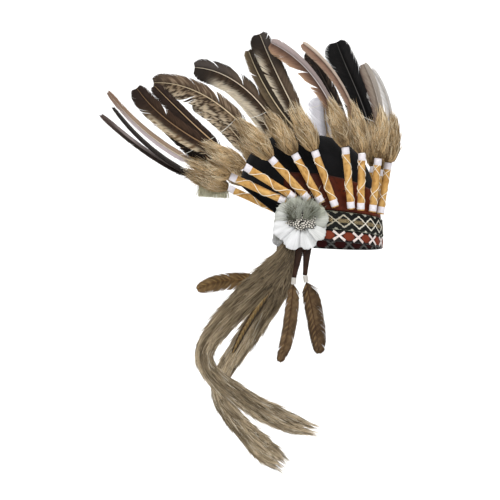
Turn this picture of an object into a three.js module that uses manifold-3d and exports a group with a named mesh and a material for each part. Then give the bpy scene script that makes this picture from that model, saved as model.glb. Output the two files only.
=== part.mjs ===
// Feathered headdress: a felt cap with a woven brow band, a laced leather strip and a leather
// panel, two rows of wrapped sticks that carry feathers with fur tufts, and a rosette on each side
// from which a fur tail and two small feathers hang.
// Millimetres. +X is the wearer's front, +Y the wearer's left and +Z up. The origin is the centre of
// the head opening, level with the lower rim. Ring angles run from the front towards the right side.
import * as THREE from "three";
import Module from "manifold-3d";

const wasm = await Module();
wasm.setup();

// Crown of the felt cap
const crownFront = 96;
const crownBack = 104;
const crownHalfWidth = 78;
const crownHeight = 152;
const crownPower = 3; // roundness of the dome's profile, 2 is an ellipse
const crownLean = 0.1; // how far the dome moves back for each millimetre up
const feltWall = 2.2;
const napeRise = 77; // height of the cap's lower edge at the back of the head
const napeStart = 98; // ring angle where the lower edge starts to rise, in degrees
const napePower = 0.55;

// Bands round the front of the cap
const bandGap = 0.5;
const rimClearance = 0.4;
const stripHeight = 15;
const stripThickness = 2.4;
const browHeight = 25;
const browThickness = 4.2;
const panelFrontHeight = 34;
const panelSideRise = 15;
const panelThickness = 2.2;
const bandEnd = 90; // ring angle where the brow band and the strip end, in degrees
const panelEnd = 112.5;
const crossSpacing = 17; // ring angle between the white cross stitches
const crossHalfWidth = 5.6; // half of a cross, as a ring angle
const crossBar = 4.4;
const crossRelief = 1.1;

// Sticks
const stickLength = 78;
const stickRadius = 4.9;
const tapeLength = 9.5;
const tapeThickness = 0.35;
const stickSides = 6;
const seatGap = 0.3;

// Feathers and tufts
const featherLength = 180;
const featherWidth = 33;
const featherEdge = 0.8;
const featherRachis = 2.6;
const featherCamber = 2;
const rachisTaper = 0.6; // share of its thickness that a rachis loses towards the tip
const narrowVane = 0.42; // share of the width on the leading side of the rachis
const tuftLength = 64;
const tuftWidth = 24;
const tuftLocks = 4;
const tuftGroove = 0.88; // radius between two locks, as a share of the tuft's radius
const lockTip = 0.56; // how far out a lock ends, as a share of the tuft's radius
const lockValley = 0.42; // the same for the valleys between the locks

// Rosettes
const rosetteRadius = 39;
const rosetteBack = 20.5; // how far behind the origin the centre sits
const rosetteUp = 21.7;
const rosettePetals = 14;
const petalNotch = 0.86; // depth of the notch between two petals, as a share of the radius
const petalLift = 0.9; // how far the petals reach above the brow band
const rosetteDish = 3.2;
const rosetteRim = 1.3;
const bossRadius = 15;
const bossHeight = 7.5;
const bossTop = 0.5; // radius of the boss at its top, as a share
const downFan = 80; // spread of the down over the top of the rosette, in degrees
const downLength = 33;
const downWidth = 11;
const downLocks = 4;

// Tails
const tailLength = 382;
const tailWidth = 33;
const tailDepth = 25;
const tailSides = 10;
const lockSides = 6;
const hangDrop = 1.2; // how far below the head opening the tails and thongs start
const tailStations = 15;
const lockDepth = 0.7; // depth of a tail's locks, as a share of the tail's depth
const tailOut = 14; // how far a tail moves away from the head below the rosette
const tailLeaves = 0.06; // share of its length where a tail starts to move away
const tailFree = 0.18; // share of its length where it has moved away in full

// Hanging feathers and thongs
const dropLength = 108;
const dropWidth = 22;
const thongWidth = 8;
const thongThickness = 3;
const wrapLength = 9;
const wrapRadius = 3.4;
const quillStart = 0.7; // where the feather leaves its wrap, as a share of the wrap's length
const thongMiddle = 0.85; // width of a thong half way down, as a share
const thongEnd = 0.6; // width of a thong at its feather, as a share

const ringStep = 7.5;
const rad = THREE.MathUtils.degToRad;

// Each row is one stick with its plume. angle: place on the ring; foot: height of the stick's foot
// above the brow band, as a share of the stick; lean: backward tilt of the stick; flare: tilt away
// from the head; start, middle and tip: backward tilt along the feather; facing: the direction that
// the feather's face looks in, as a ring angle. Tilts are degrees. stick, length, width and tuft are
// shares of the named sizes.
const rightPlumes = [
  { angle: 25, foot: 0.05, lean: -5, flare: 4, stick: 0.92, start: -8, middle: 13, tip: 44,
    length: 0.76, width: 0.8, tuft: 0.94, facing: 28, look: "white" },
  { angle: 38, foot: 0.05, lean: -2, flare: 6, stick: 0.95, start: -7, middle: 13, tip: 34,
    length: 0.74, width: 0.8, tuft: 0.96, facing: 44, look: "grey" },
  { angle: 51.5, foot: 0.05, lean: 3, flare: 8, stick: 0.99, start: 9, middle: 33, tip: 60,
    length: 0.97, width: 0.64, tuft: 0.94, facing: 30, look: "pink" },
  { angle: 60.5, foot: 0.05, lean: 10, flare: 10, stick: 1.08, start: 19, middle: 39, tip: 72,
    length: 0.99, width: 0.92, tuft: 0.94, facing: 32, look: "brown" },
  { angle: 73.5, foot: 0.06, lean: 25, flare: 8, stick: 1.04, start: 29, middle: 31, tip: 25,
    length: 0.96, width: 0.98, tuft: 1, facing: 91, look: "banded" },
  { angle: 84, foot: 0.11, lean: 33.5, flare: 6, stick: 0.97, start: 36, middle: 49, tip: 94,
    length: 1.03, width: 1, tuft: 1, facing: 90, look: "banded" },
  { angle: 93.5, foot: 0.15, lean: 47, flare: 8, stick: 0.97, start: 44, middle: 58, tip: 100,
    length: 1.08, width: 1, tuft: 1, facing: 92, look: "speckled" },
  { angle: 103, foot: 0.17, lean: 63, flare: 10, stick: 1.03, start: 66, middle: 62, tip: 38,
    length: 1, width: 0.84, tuft: 0.84, facing: 96, look: "brown" },
  { angle: 109.5, foot: 0.1, lean: 70, flare: 3, stick: 1.06, start: 79, middle: 59, tip: 41,
    length: 1.13, width: 0.62, tuft: 0.82, facing: 160, look: "cream" },
];
const leftPlumes = [
  { angle: 25, foot: 0.05, lean: -5, flare: 4, stick: 0.92, start: -8, middle: 12, tip: 36,
    length: 0.68, width: 0.7, tuft: 0.94, facing: 24, look: "white" },
  { angle: 38, foot: 0.05, lean: -5, flare: 5, stick: 1, start: -1, middle: 24, tip: 22,
    length: 1.1, width: 1.3, tuft: 0.96, facing: 78, look: "black" },
  { angle: 51.5, foot: 0.05, lean: 6, flare: 5, stick: 1, start: 6, middle: 25, tip: 32,
    length: 1.04, width: 0.8, tuft: 0.94, facing: 60, look: "black" },
  { angle: 60.5, foot: 0.05, lean: 10, flare: 6, stick: 1, start: 25, middle: 14, tip: 4,
    length: 0.6, width: 1.25, tuft: 0.6, facing: 84, look: "white" },
  { angle: 73.5, foot: 0.06, lean: 22, flare: 6, stick: 1, start: 24, middle: 28, tip: 28,
    length: 0.98, width: 0.8, tuft: 1, facing: 88, look: "brown" },
  { angle: 84, foot: 0.11, lean: 33, flare: 6, stick: 0.97, start: 32, middle: 37, tip: 72,
    length: 1.08, width: 0.8, tuft: 1, facing: 90, look: "banded" },
  { angle: 93.5, foot: 0.15, lean: 46, flare: 8, stick: 0.97, start: 46, middle: 44, tip: 72,
    length: 0.9, width: 0.8, tuft: 1, facing: 92, look: "speckled" },
  { angle: 103, foot: 0.17, lean: 62, flare: 10, stick: 1, start: 60, middle: 56, tip: 38,
    length: 1, width: 0.7, tuft: 0.9, facing: 110, look: "brown" },
  { angle: 109.5, foot: 0.1, lean: 69, flare: 4, stick: 1.12, start: 79, middle: 58, tip: 39,
    length: 1.2, width: 0.5, tuft: 0.95, facing: 158, look: "grey" },
];

// A second feather in a tuft. plume is the number of its stick, counted from the front.
const rightTwins = [
  { plume: 5, start: 50, middle: 38.5, tip: 24, length: 0.9, width: 0.5, facing: 80 },
  { plume: 8, start: 60, middle: 52, tip: 50, length: 0.9, width: 0.6, facing: 100 },
  { plume: 9, start: 70, middle: 50, tip: 50, length: 0.76, width: 0.6, facing: 120 },
];
const leftTwins = [
  { plume: 9, start: 82, middle: 62, tip: 51, length: 1.24, width: 0.5, facing: 152 },
];

// Width of a feather's vane along its length, as shares of both
const vaneShape = [
  { along: 0, width: 0.09 },
  { along: 0.2, width: 0.12 },
  { along: 0.32, width: 0.7 },
  { along: 0.52, width: 0.95 },
  { along: 0.76, width: 1 },
  { along: 0.94, width: 0.66 },
  { along: 1, width: 0.14 },
];
const dropShape = [
  { along: 0, width: 0.16 },
  { along: 0.1, width: 0.6 },
  { along: 0.4, width: 1 },
  { along: 0.72, width: 0.94 },
  { along: 0.92, width: 0.6 },
  { along: 1, width: 0.2 },
];
// Radius of a tuft along its length, as shares; the last row is where the locks' valleys end
const tuftShape = [
  { along: 0, radius: 0.44 },
  { along: 0.1, radius: 0.72 },
  { along: 0.34, radius: 1 },
  { along: 0.66, radius: 0.82 },
];

// A lock of down over a rosette: place along it, width, and how far out and how deep it is, both as
// shares of the boss
const downShape = [
  { along: 0.1, width: 0.5, out: 0.75, deep: 0.34 },
  { along: 0.45, width: 1, out: 1.08, deep: 0.2 },
  { along: 0.8, width: 0.8, out: 1.12, deep: 0.18 },
  { along: 1, width: 0.14, out: 1.16, deep: 0.06 },
];

// Tilt of a tail from straight down towards the back, along its length, and its width and depth
const rightTail = [
  { along: 0, swing: 12, width: 0.46, depth: 0.5 },
  { along: 0.06, swing: 27, width: 0.74, depth: 0.6 },
  { along: 0.12, swing: 38, width: 0.98, depth: 0.86 },
  { along: 0.24, swing: 41, width: 1.08, depth: 1 },
  { along: 0.35, swing: 38, width: 0.98, depth: 1 },
  { along: 0.44, swing: 33, width: 0.86, depth: 0.95 },
  { along: 0.49, swing: 20, width: 0.76, depth: 0.85 },
  { along: 0.53, swing: -14, width: 0.72, depth: 0.85 },
  { along: 0.585, swing: -45, width: 0.72, depth: 0.85 },
  { along: 0.65, swing: -58, width: 0.76, depth: 0.85 },
  { along: 0.74, swing: -61, width: 0.82, depth: 0.85 },
  { along: 0.85, swing: -69, width: 0.88, depth: 0.85 },
  { along: 0.95, swing: -77, width: 0.7, depth: 0.7 },
];
const leftTail = [
  { along: 0, swing: 6, width: 0.46, depth: 0.5 },
  { along: 0.06, swing: 11, width: 0.74, depth: 0.6 },
  { along: 0.14, swing: 21, width: 0.94, depth: 0.86 },
  { along: 0.24, swing: 32, width: 1, depth: 1 },
  { along: 0.35, swing: 29, width: 0.96, depth: 1 },
  { along: 0.47, swing: 31, width: 0.84, depth: 0.95 },
  { along: 0.56, swing: 24, width: 0.74, depth: 0.85 },
  { along: 0.61, swing: -8, width: 0.7, depth: 0.85 },
  { along: 0.69, swing: -40, width: 0.74, depth: 0.85 },
  { along: 0.78, swing: -47, width: 0.84, depth: 0.85 },
  { along: 0.88, swing: -50, width: 0.9, depth: 0.8 },
  { along: 0.95, swing: -58, width: 0.72, depth: 0.7 },
];
const rightTailTop = 0.28; // how far behind the rosette's centre the tail starts, a share of its radius
const leftTailTop = 0.12;
// Locks that leave a tail: from: place along it; side: across it; reach: share of its length
const tailLocks = [
  { from: 0.78, side: 0.45, reach: 0.19, width: 0.5 },
  { from: 0.8, side: -0.45, reach: 0.15, width: 0.5 },
  { from: 0.84, side: 0.05, reach: 0.16, width: 0.55 },
];
const lockShape = [
  { along: 0, width: 0.4 },
  { along: 0.35, width: 1 },
  { along: 0.75, width: 0.7 },
  { along: 1, width: 0.1 },
];

// Feathers that hang from thongs. tieBack and tieDown: where the thong ends, measured from the
// rosette's centre, as shares of its radius; top: where the thong starts behind the rosette.
const rightDrops = [
  { top: -0.02, tieBack: 0.1, tieDown: 1.92, tieOut: -0.08, start: 178, middle: 175, tip: 161,
    length: 1, width: 0.92, facing: 70 },
  { top: -0.28, tieBack: -0.27, tieDown: 1.82, tieOut: -0.08, start: 196, middle: 194, tip: 189,
    length: 0.92, width: 1.1, facing: 100 },
];
const leftDrops = [
  { top: 0.835, tieBack: 0.96, tieDown: 1.94, tieOut: -0.5, start: 88, middle: 99, tip: 125,
    length: 0.9, width: 1.15, facing: 80 },
  { top: 0.62, tieBack: 0.64, tieDown: 1.9, tieOut: -0.85, start: 148, middle: 152, tip: 163,
    length: 1.06, width: 0.8, facing: 150 },
];

// Closed surface through rings that all have the same number of points, capped at both ends
function loft(rings) {
  const count = rings[0].length;
  const points = rings.flat();
  const faces = [];
  for (let r = 0; r + 1 < rings.length; r++) {
    for (let i = 0; i < count; i++) {
      const a = r * count + i;
      const b = r * count + ((i + 1) % count);
      faces.push(a, b, b + count, a, b + count, a + count);
    }
  }
  const capAt = (first, reverse) => {
    const middle = new THREE.Vector3();
    for (let i = 0; i < count; i++) middle.addScaledVector(points[first + i], 1 / count);
    points.push(middle);
    for (let i = 0; i < count; i++) {
      const a = first + i;
      const b = first + ((i + 1) % count);
      if (reverse) faces.push(b, a, points.length - 1);
      else faces.push(a, b, points.length - 1);
    }
  };
  capAt(0, true);
  capAt((rings.length - 1) * count, false);
  return solidFrom(points, faces);
}

// Manifold solid from points and faces, turned so that its faces look outwards
function solidFrom(points, faces) {
  const made = (order) =>
    new wasm.Manifold(
      new wasm.Mesh({
        numProp: 3,
        vertProperties: Float32Array.from(points.flatMap((p) => [p.x, p.y, p.z])),
        triVerts: Uint32Array.from(order),
      }),
    );
  const solid = made(faces);
  return solid.volume() > 0 ? solid : made(faces.slice().reverse());
}

function joined(solids) {
  return solids.reduce((all, solid) => all.add(solid));
}

// Value of a column at a place along a table, with straight runs between the rows
function between(table, along, column) {
  const next = table.findIndex((row) => row.along >= along);
  if (next < 0) return table[table.length - 1][column];
  if (next === 0) return table[0][column];
  const low = table[next - 1];
  const high = table[next];
  const part = (along - low.along) / (high.along - low.along);
  return THREE.MathUtils.lerp(low[column], high[column], part);
}

function superCurve(share) {
  return Math.max(0, 1 - share ** crownPower) ** (1 / crownPower);
}

// Point on the crown, or on a shell that lies offset outside it
function crownPoint(degrees, z, offset) {
  const angle = rad(degrees);
  const share = superCurve(z / (crownHeight + offset));
  const reach = Math.cos(angle) > 0 ? crownFront : crownBack;
  return new THREE.Vector3(
    (reach + offset) * share * Math.cos(angle) - crownLean * z,
    -(crownHalfWidth + offset) * share * Math.sin(angle),
    z,
  );
}

function rimHeight(degrees) {
  const turn = Math.abs(((degrees + 180) % 360) - 180);
  const part = THREE.MathUtils.clamp((turn - napeStart) / (180 - napeStart), 0, 1);
  return rimClearance + napeRise * Math.sin((part * Math.PI) / 2) ** napePower;
}

// Felt cap: an outer and an inner dome that meet at the lower edge
function crownCap() {
  const rows = 5;
  const count = 360 / ringStep;
  const points = [];
  const faces = [];
  for (const inset of [0, feltWall]) {
    for (let row = 0; row < rows; row++) {
      for (let i = 0; i < count; i++) {
        const edge = rimHeight(i * ringStep);
        const top = crownHeight - inset;
        const z = edge + (top - edge) * Math.sin(((row / rows) * Math.PI) / 2);
        points.push(crownPoint(i * ringStep, z, -inset));
      }
    }
  }
  const shell = rows * count;
  const outerTop = points.length;
  points.push(crownPoint(0, crownHeight, 0), crownPoint(0, crownHeight - feltWall, -feltWall));
  for (let i = 0; i < count; i++) {
    const j = (i + 1) % count;
    for (let row = 0; row + 1 < rows; row++) {
      const low = row * count;
      const high = low + count;
      faces.push(low + i, low + j, high + j, low + i, high + j, high + i);
      const inLow = low + shell;
      const inHigh = high + shell;
      faces.push(inLow + j, inLow + i, inHigh + j, inHigh + j, inLow + i, inHigh + i);
    }
    const last = (rows - 1) * count;
    faces.push(last + i, last + j, outerTop);
    faces.push(shell + last + j, shell + last + i, outerTop + 1);
    faces.push(j, i, shell + j, shell + j, i, shell + i);
  }
  return solidFrom(points, faces);
}

// Curved band on the crown between two heights, from one ring angle to its mirror
function bandShell(end, bottom, top, thickness, rows) {
  const sections = [];
  for (let degrees = -end; degrees <= end; degrees += ringStep) {
    const low = bottom(degrees);
    const high = top(degrees);
    const heights = Array.from({ length: rows + 1 }, (_, i) => low + ((high - low) * i) / rows);
    const inner = heights.map((z) => crownPoint(degrees, z, bandGap));
    const outer = heights.map((z) => crownPoint(degrees, z, bandGap + thickness));
    sections.push([...inner, ...outer.reverse()]);
  }
  return loft(sections);
}

const browBottom = rimClearance + stripHeight + rimClearance;
const browTop = browBottom + browHeight;
const panelBottom = browTop + rimClearance;

function panelTop(degrees) {
  const part = THREE.MathUtils.clamp(Math.abs(degrees) / bandEnd, 0, 1);
  return panelBottom + panelFrontHeight + panelSideRise * Math.sin((part * Math.PI) / 2) ** 2;
}

function browBand() {
  return bandShell(bandEnd, () => browBottom, () => browTop, browThickness, 2);
}

function leatherPanel() {
  return bandShell(panelEnd, () => panelBottom, panelTop, panelThickness, 2);
}

// Strip with raised white crosses
function lacedStrip() {
  const bottom = () => rimClearance;
  const top = () => rimClearance + stripHeight;
  const parts = [bandShell(bandEnd, bottom, top, stripThickness, 1)];
  const crosses = Math.floor((bandEnd - crossHalfWidth) / crossSpacing);
  const face = bandGap + stripThickness;
  const low = rimClearance + crossBar / 2;
  const high = rimClearance + stripHeight - crossBar / 2;
  for (let i = -crosses; i <= crosses; i++) {
    for (const side of [-1, 1]) {
      const rings = [-1, 1].map((step) => {
        const degrees = i * crossSpacing + side * step * crossHalfWidth;
        const z = (low + high) / 2 + (step * (high - low)) / 2;
        const corners = [
          { z: z - crossBar / 2, offset: face - crossRelief },
          { z: z + crossBar / 2, offset: face - crossRelief },
          { z: z + crossBar / 2, offset: face + crossRelief },
          { z: z - crossBar / 2, offset: face + crossRelief },
        ];
        return corners.map((c) => crownPoint(degrees, c.z, c.offset));
      });
      parts.push(loft(rings));
    }
  }
  return joined(parts);
}

// Direction with a backward lean and an outward flare, on the right side
function heading(lean, flare) {
  const outward = Math.sin(rad(flare));
  const inPlane = Math.cos(rad(flare));
  return new THREE.Vector3(-Math.sin(rad(lean)) * inPlane, -outward, Math.cos(rad(lean)) * inPlane);
}

// Tilt at a place along a feather, a smooth curve through its start, middle and tip
function tiltAt(row, along) {
  const rise = -3 * row.start + 4 * row.middle - row.tip;
  const bend = 2 * row.start - 4 * row.middle + 2 * row.tip;
  return row.start + rise * along + bend * along * along;
}

// Frames along a feather: centre, direction, side and face
function featherFrames(base, row, length, places) {
  const steps = 60;
  const frames = [];
  const look = new THREE.Vector3(Math.cos(rad(row.facing)), -Math.sin(rad(row.facing)), 0);
  const centre = base.clone();
  let done = 0;
  for (const along of places) {
    while (done / steps < along - 1e-9) {
      const step = Math.min(1 / steps, along - done / steps);
      centre.addScaledVector(heading(tiltAt(row, (done + 0.5) / steps), row.flare), length * step);
      done += step * steps;
    }
    const direction = heading(tiltAt(row, along), row.flare);
    const face = look.clone().addScaledVector(direction, -look.dot(direction)).normalize();
    const side = direction.clone().cross(face);
    frames.push({ along, centre: centre.clone(), direction, side, face });
  }
  return frames;
}

// Feather blade: two vanes that fall back a little on both sides of a raised rachis
function blade(base, row, shape, fullLength, fullWidth) {
  const length = fullLength * row.length;
  const width = fullWidth * row.width;
  const frames = featherFrames(base, row, length, shape.map((s) => s.along));
  const rings = frames.map((f, i) => {
    const lead = width * narrowVane * shape[i].width;
    const trail = width * (1 - narrowVane) * shape[i].width;
    const camber = featherCamber * shape[i].width;
    const ridge = featherRachis * (1 - rachisTaper * f.along);
    const at = (across, out) =>
      f.centre.clone().addScaledVector(f.side, across).addScaledVector(f.face, out);
    return [
      at(lead, -camber - featherEdge / 2),
      at(lead, -camber + featherEdge / 2),
      at(0, ridge / 2),
      at(-trail, -camber + featherEdge / 2),
      at(-trail, -camber - featherEdge / 2),
      at(0, -ridge / 2),
    ];
  });
  return loft(rings);
}

// Fur tuft: a round body of locks that end in points at different heights
function tuft(base, row) {
  const length = tuftLength * Math.min(1, row.tuft + 0.1);
  const radius = (tuftWidth / 2) * row.tuft;
  const share = length / (featherLength * row.length);
  const places = [...tuftShape.map((s) => s.along * share), share];
  const frames = featherFrames(base, row, featherLength * row.length, places);
  const count = tuftLocks * 2;
  const around = (frame, i, r) => {
    const angle = (2 * Math.PI * i) / count;
    return frame.centre
      .clone()
      .addScaledVector(frame.side, r * Math.cos(angle))
      .addScaledVector(frame.face, r * Math.sin(angle));
  };
  const rings = tuftShape.map((s, row_) =>
    Array.from({ length: count }, (_, i) => {
      const groove = i % 2 && row_ > 0 ? tuftGroove : 1;
      return around(frames[row_], i, radius * s.radius * groove);
    }),
  );
  const valley = frames[tuftShape.length - 1];
  const tips = frames[tuftShape.length];
  rings.push(
    Array.from({ length: count }, (_, i) =>
      i % 2 ? around(valley, i, radius * lockValley) : around(tips, i, radius * lockTip),
    ),
  );
  return loft(rings);
}

// Wrapped stick: a rod with a band of tape at both ends and one of its edges towards the head
function stick(base, direction, length, angle) {
  const inward = new THREE.Vector3(-Math.cos(rad(angle)), Math.sin(rad(angle)), 0);
  const side = inward.addScaledVector(direction, -inward.dot(direction)).normalize();
  const face = side.clone().cross(direction).normalize();
  const outer = stickRadius + tapeThickness;
  const stations = [
    { at: 0, radius: outer },
    { at: tapeLength, radius: outer },
    { at: tapeLength + tapeThickness, radius: stickRadius },
    { at: length - tapeLength - tapeThickness, radius: stickRadius },
    { at: length - tapeLength, radius: outer },
    { at: length, radius: outer },
  ];
  return loft(
    stations.map((s) =>
      Array.from({ length: stickSides }, (_, i) => {
        const turn = (2 * Math.PI * i) / stickSides;
        return base
          .clone()
          .addScaledVector(direction, s.at)
          .addScaledVector(side, s.radius * Math.cos(turn))
          .addScaledVector(face, s.radius * Math.sin(turn));
      }),
    ),
  );
}

// Foot of a stick: it stands against the leather panel, just above the brow band
function stickFoot(row) {
  const z = browTop + row.foot * stickLength;
  const out = bandGap + panelThickness + seatGap + stickRadius + tapeThickness;
  return crownPoint(row.angle, z, out);
}

const rosetteCentre = new THREE.Vector3(
  -rosetteBack,
  -(crownHalfWidth + bandGap + browThickness + seatGap),
  rosetteUp,
);
const petalTop = browTop + petalLift - rosetteUp;

// Rosette: a dished ring of petals with a round boss and a fan of down over the sticks' feet
function rosette() {
  const samples = rosettePetals * 3;
  const ring = (share, out) =>
    Array.from({ length: samples }, (_, i) => {
      const angle = (2 * Math.PI * i) / samples;
      const petal = i % 3 ? 1 : petalNotch;
      const full = rosetteRadius * petal;
      const rise = Math.cos(angle);
      const reach = rise > 0 ? Math.min(full, petalTop / rise) : full;
      const radius = share < 1 ? Math.min(reach, rosetteRadius * share) : reach;
      return rosetteCentre
        .clone()
        .add(new THREE.Vector3(radius * Math.sin(angle), -out, radius * rise));
    });
  const bossShare = bossRadius / rosetteRadius;
  const disc = loft([
    ring(1, 0),
    ring(1, rosetteRim),
    ring(bossShare, rosetteDish),
    ring(bossShare * bossTop, rosetteDish + bossHeight),
  ]);
  const locks = Array.from({ length: downLocks }, (_, i) => {
    const fan = rad((i / (downLocks - 1) - 0.5) * downFan);
    const along = new THREE.Vector3(Math.sin(fan), 0, Math.cos(fan));
    const across = new THREE.Vector3(Math.cos(fan), 0, -Math.sin(fan));
    const out = rosetteDish + bossHeight;
    return loft(
      downShape.map((r) =>
        Array.from({ length: 4 }, (_, k) => {
          const angle = (2 * Math.PI * k) / 4;
          return rosetteCentre
            .clone()
            .addScaledVector(along, downLength * r.along)
            .addScaledVector(across, (downWidth / 2) * r.width * Math.cos(angle))
            .add(new THREE.Vector3(0, -out * (r.out + r.deep * Math.sin(angle)), 0));
        }),
      ),
    );
  });
  return joined([disc, ...locks]);
}

// Fur tail: a flattened rope of fur with a ridged side and a split, pointed end
function tail(table, top) {
  const start = rosetteCentre.clone();
  start.x -= top * rosetteRadius;
  start.y += seatGap;
  start.z = -hangDrop;
  const end = table[table.length - 1].along;
  const steps = tailStations;
  const centre = start.clone();
  const frames = [];
  for (let k = 0; k <= steps; k++) {
    const along = (end * k) / steps;
    const swing = rad(between(table, along, "swing"));
    const before = rad(between(table, along - end / steps / 2, "swing"));
    const direction = new THREE.Vector3(-Math.sin(swing), 0, -Math.cos(swing));
    const way = new THREE.Vector3(-Math.sin(before), 0, -Math.cos(before));
    if (k > 0) centre.addScaledVector(way, (tailLength * end) / steps);
    const depth = (tailDepth / 2) * between(table, along, "depth");
    const drift = tailOut * THREE.MathUtils.smoothstep(along, tailLeaves, tailFree);
    frames.push({
      along,
      direction,
      centre: centre.clone().add(new THREE.Vector3(0, depth - drift, 0)),
      side: new THREE.Vector3(Math.cos(swing), 0, -Math.sin(swing)),
      width: (tailWidth / 2) * between(table, along, "width"),
      depth,
    });
  }
  const oval = (frame, middle, sides, wide, deep) =>
    Array.from({ length: sides }, (_, i) => {
      const angle = (2 * Math.PI * i) / sides;
      const point = middle.clone().addScaledVector(frame.side, wide * Math.cos(angle));
      point.y -= deep * Math.sin(angle);
      return point;
    });
  const rope = loft(frames.map((f) => oval(f, f.centre, tailSides, f.width, f.depth)));
  const locks = tailLocks.map((lock) => {
    const frame = frames.findLast((f) => f.along <= lock.from);
    const root = frame.centre.clone().addScaledVector(frame.side, frame.width * lock.side);
    return loft(
      lockShape.map((s) => {
        const reach = tailLength * lock.reach * s.along;
        const middle = root.clone().addScaledVector(frame.direction, reach);
        const wide = frame.width * lock.width * s.width;
        return oval(frame, middle, lockSides, wide, frame.depth * lockDepth * s.width);
      }),
    );
  });
  return joined([rope, ...locks]);
}

function dropTie(row) {
  return rosetteCentre.clone().add(
    new THREE.Vector3(
      -row.tieBack * rosetteRadius,
      -row.tieOut * rosetteRadius,
      -row.tieDown * rosetteRadius,
    ),
  );
}

// Thong: a flat strip from behind the rosette's lower edge to a hanging feather
function thong(row) {
  const from = rosetteCentre.clone();
  from.x -= row.top * rosetteRadius;
  from.y += thongThickness / 2 + seatGap;
  from.z = -hangDrop;
  const outward = new THREE.Vector3(0, 1, 0);
  const end = heading(row.start, 0);
  const to = dropTie(row).addScaledVector(end, -seatGap);
  const below = from.clone();
  below.y = (from.y + to.y) / 2;
  below.z -= rosetteRadius / 2;
  const across = new THREE.Vector3(1, 0, 0);
  const endAcross = end.clone().cross(outward);
  const turned = across.clone().add(endAcross).normalize();
  const places = [
    { at: from, across, width: 1 },
    { at: below, across, width: 1 },
    { at: below.clone().lerp(to, 0.5), across: turned, width: thongMiddle },
    { at: to, across: endAcross, width: thongEnd },
  ];
  const corners = [[-1, -1], [1, -1], [1, 1], [-1, 1]];
  return loft(
    places.map((p) =>
      corners.map(([u, v]) =>
        p.at
          .clone()
          .addScaledVector(p.across, (u * thongWidth * p.width) / 2)
          .addScaledVector(outward, (v * thongThickness) / 2),
      ),
    ),
  );
}

// Small hanging feather with a white wrap round its quill
function drop(row) {
  const base = dropTie(row);
  const direction = heading(row.start, 0);
  const across = direction.clone().cross(new THREE.Vector3(0, 1, 0)).normalize();
  const deep = across.clone().cross(direction).normalize();
  const wrap = loft(
    [0, wrapLength].map((at) =>
      Array.from({ length: 8 }, (_, i) => {
        const angle = (2 * Math.PI * i) / 8;
        return base
          .clone()
          .addScaledVector(direction, at)
          .addScaledVector(across, wrapRadius * Math.cos(angle))
          .addScaledVector(deep, wrapRadius * Math.sin(angle));
      }),
    ),
  );
  const quill = base.clone().addScaledVector(direction, wrapLength * quillStart);
  return joined([wrap, blade(quill, { ...row, flare: 0 }, dropShape, dropLength, dropWidth)]);
}

const finishes = {
  felt: { color: 0x15161a, roughness: 0.95 },
  leather: { color: 0x7a3420, roughness: 0.7 },
  woven: { color: 0x2a2a26, roughness: 0.85 },
  suede: { color: 0xc79a5a, roughness: 0.85 },
  white: { color: 0xe6e2dc, roughness: 0.8 },
  grey: { color: 0x9a8f84, roughness: 0.8 },
  pink: { color: 0xa88a78, roughness: 0.8 },
  brown: { color: 0x5a4332, roughness: 0.8 },
  banded: { color: 0x6a5a48, roughness: 0.8 },
  speckled: { color: 0x7d6a50, roughness: 0.8 },
  cream: { color: 0xd8c4a4, roughness: 0.8 },
  black: { color: 0x1c1c1f, roughness: 0.7 },
  petals: { color: 0xe9e9e6, roughness: 0.7 },
  fur: { color: 0x6b5d49, roughness: 0.9 },
  thong: { color: 0x2c1c14, roughness: 0.8 },
};

const headdress = new THREE.Group();

function addPiece(name, solid, finish, mirrored) {
  const mesh = solid.getMesh();
  const geometry = new THREE.BufferGeometry();
  const values = Float32Array.from(mesh.vertProperties);
  const order = Uint32Array.from(mesh.triVerts);
  geometry.setAttribute("position", new THREE.BufferAttribute(values, 3));
  geometry.setIndex(new THREE.BufferAttribute(mirrored ? order.reverse() : order, 1));
  if (mirrored) geometry.scale(1, -1, 1);
  geometry.computeVertexNormals();
  const material = new THREE.MeshStandardMaterial({ ...finishes[finish], metalness: 0 });
  const piece = new THREE.Mesh(geometry, material);
  piece.name = name;
  headdress.add(piece);
}

addPiece("crown_cap", crownCap(), "felt", false);
addPiece("laced_strip", lacedStrip(), "leather", false);
addPiece("brow_band", browBand(), "woven", false);
addPiece("leather_panel", leatherPanel(), "leather", false);

function addSide(side, plumes, twins, tailTable, tailTop, drops) {
  const mirrored = side === "left";
  plumes.forEach((row, i) => {
    const foot = stickFoot(row);
    const direction = heading(row.lean, row.flare);
    const length = stickLength * row.stick;
    const rod = stick(foot, direction, length, row.angle);
    addPiece(`stick_${side}_${i + 1}`, rod, "suede", mirrored);
    const turn = Math.sin(rad(Math.abs(row.start - row.lean)));
    const clear = seatGap + (tuftWidth / 2) * turn * tuftShape[0].radius;
    const base = foot.clone().addScaledVector(direction, length + clear);
    const parts = [tuft(base, row), blade(base, row, vaneShape, featherLength, featherWidth)];
    for (const twin of twins.filter((t) => t.plume === i + 1)) {
      parts.push(
        blade(base, { ...twin, flare: row.flare }, vaneShape, featherLength, featherWidth),
      );
    }
    addPiece(`plume_${side}_${i + 1}`, joined(parts), row.look, mirrored);
  });
  addPiece(`rosette_${side}`, rosette(), "petals", mirrored);
  addPiece(`tail_${side}`, tail(tailTable, tailTop), "fur", mirrored);
  drops.forEach((row, i) => {
    addPiece(`thong_${side}_${i + 1}`, thong(row), "thong", mirrored);
    addPiece(`drop_feather_${side}_${i + 1}`, drop(row), "brown", mirrored);
  });
}

addSide("right", rightPlumes, rightTwins, rightTail, rightTailTop, rightDrops);
addSide("left", leftPlumes, leftTwins, leftTail, leftTailTop, leftDrops);

export default headdress;
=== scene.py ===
"""Looks of the feathered headdress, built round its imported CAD. Millimetres up to the meshes."""

import math

import bpy
import numpy as np
from mathutils import Matrix, Vector


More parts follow.
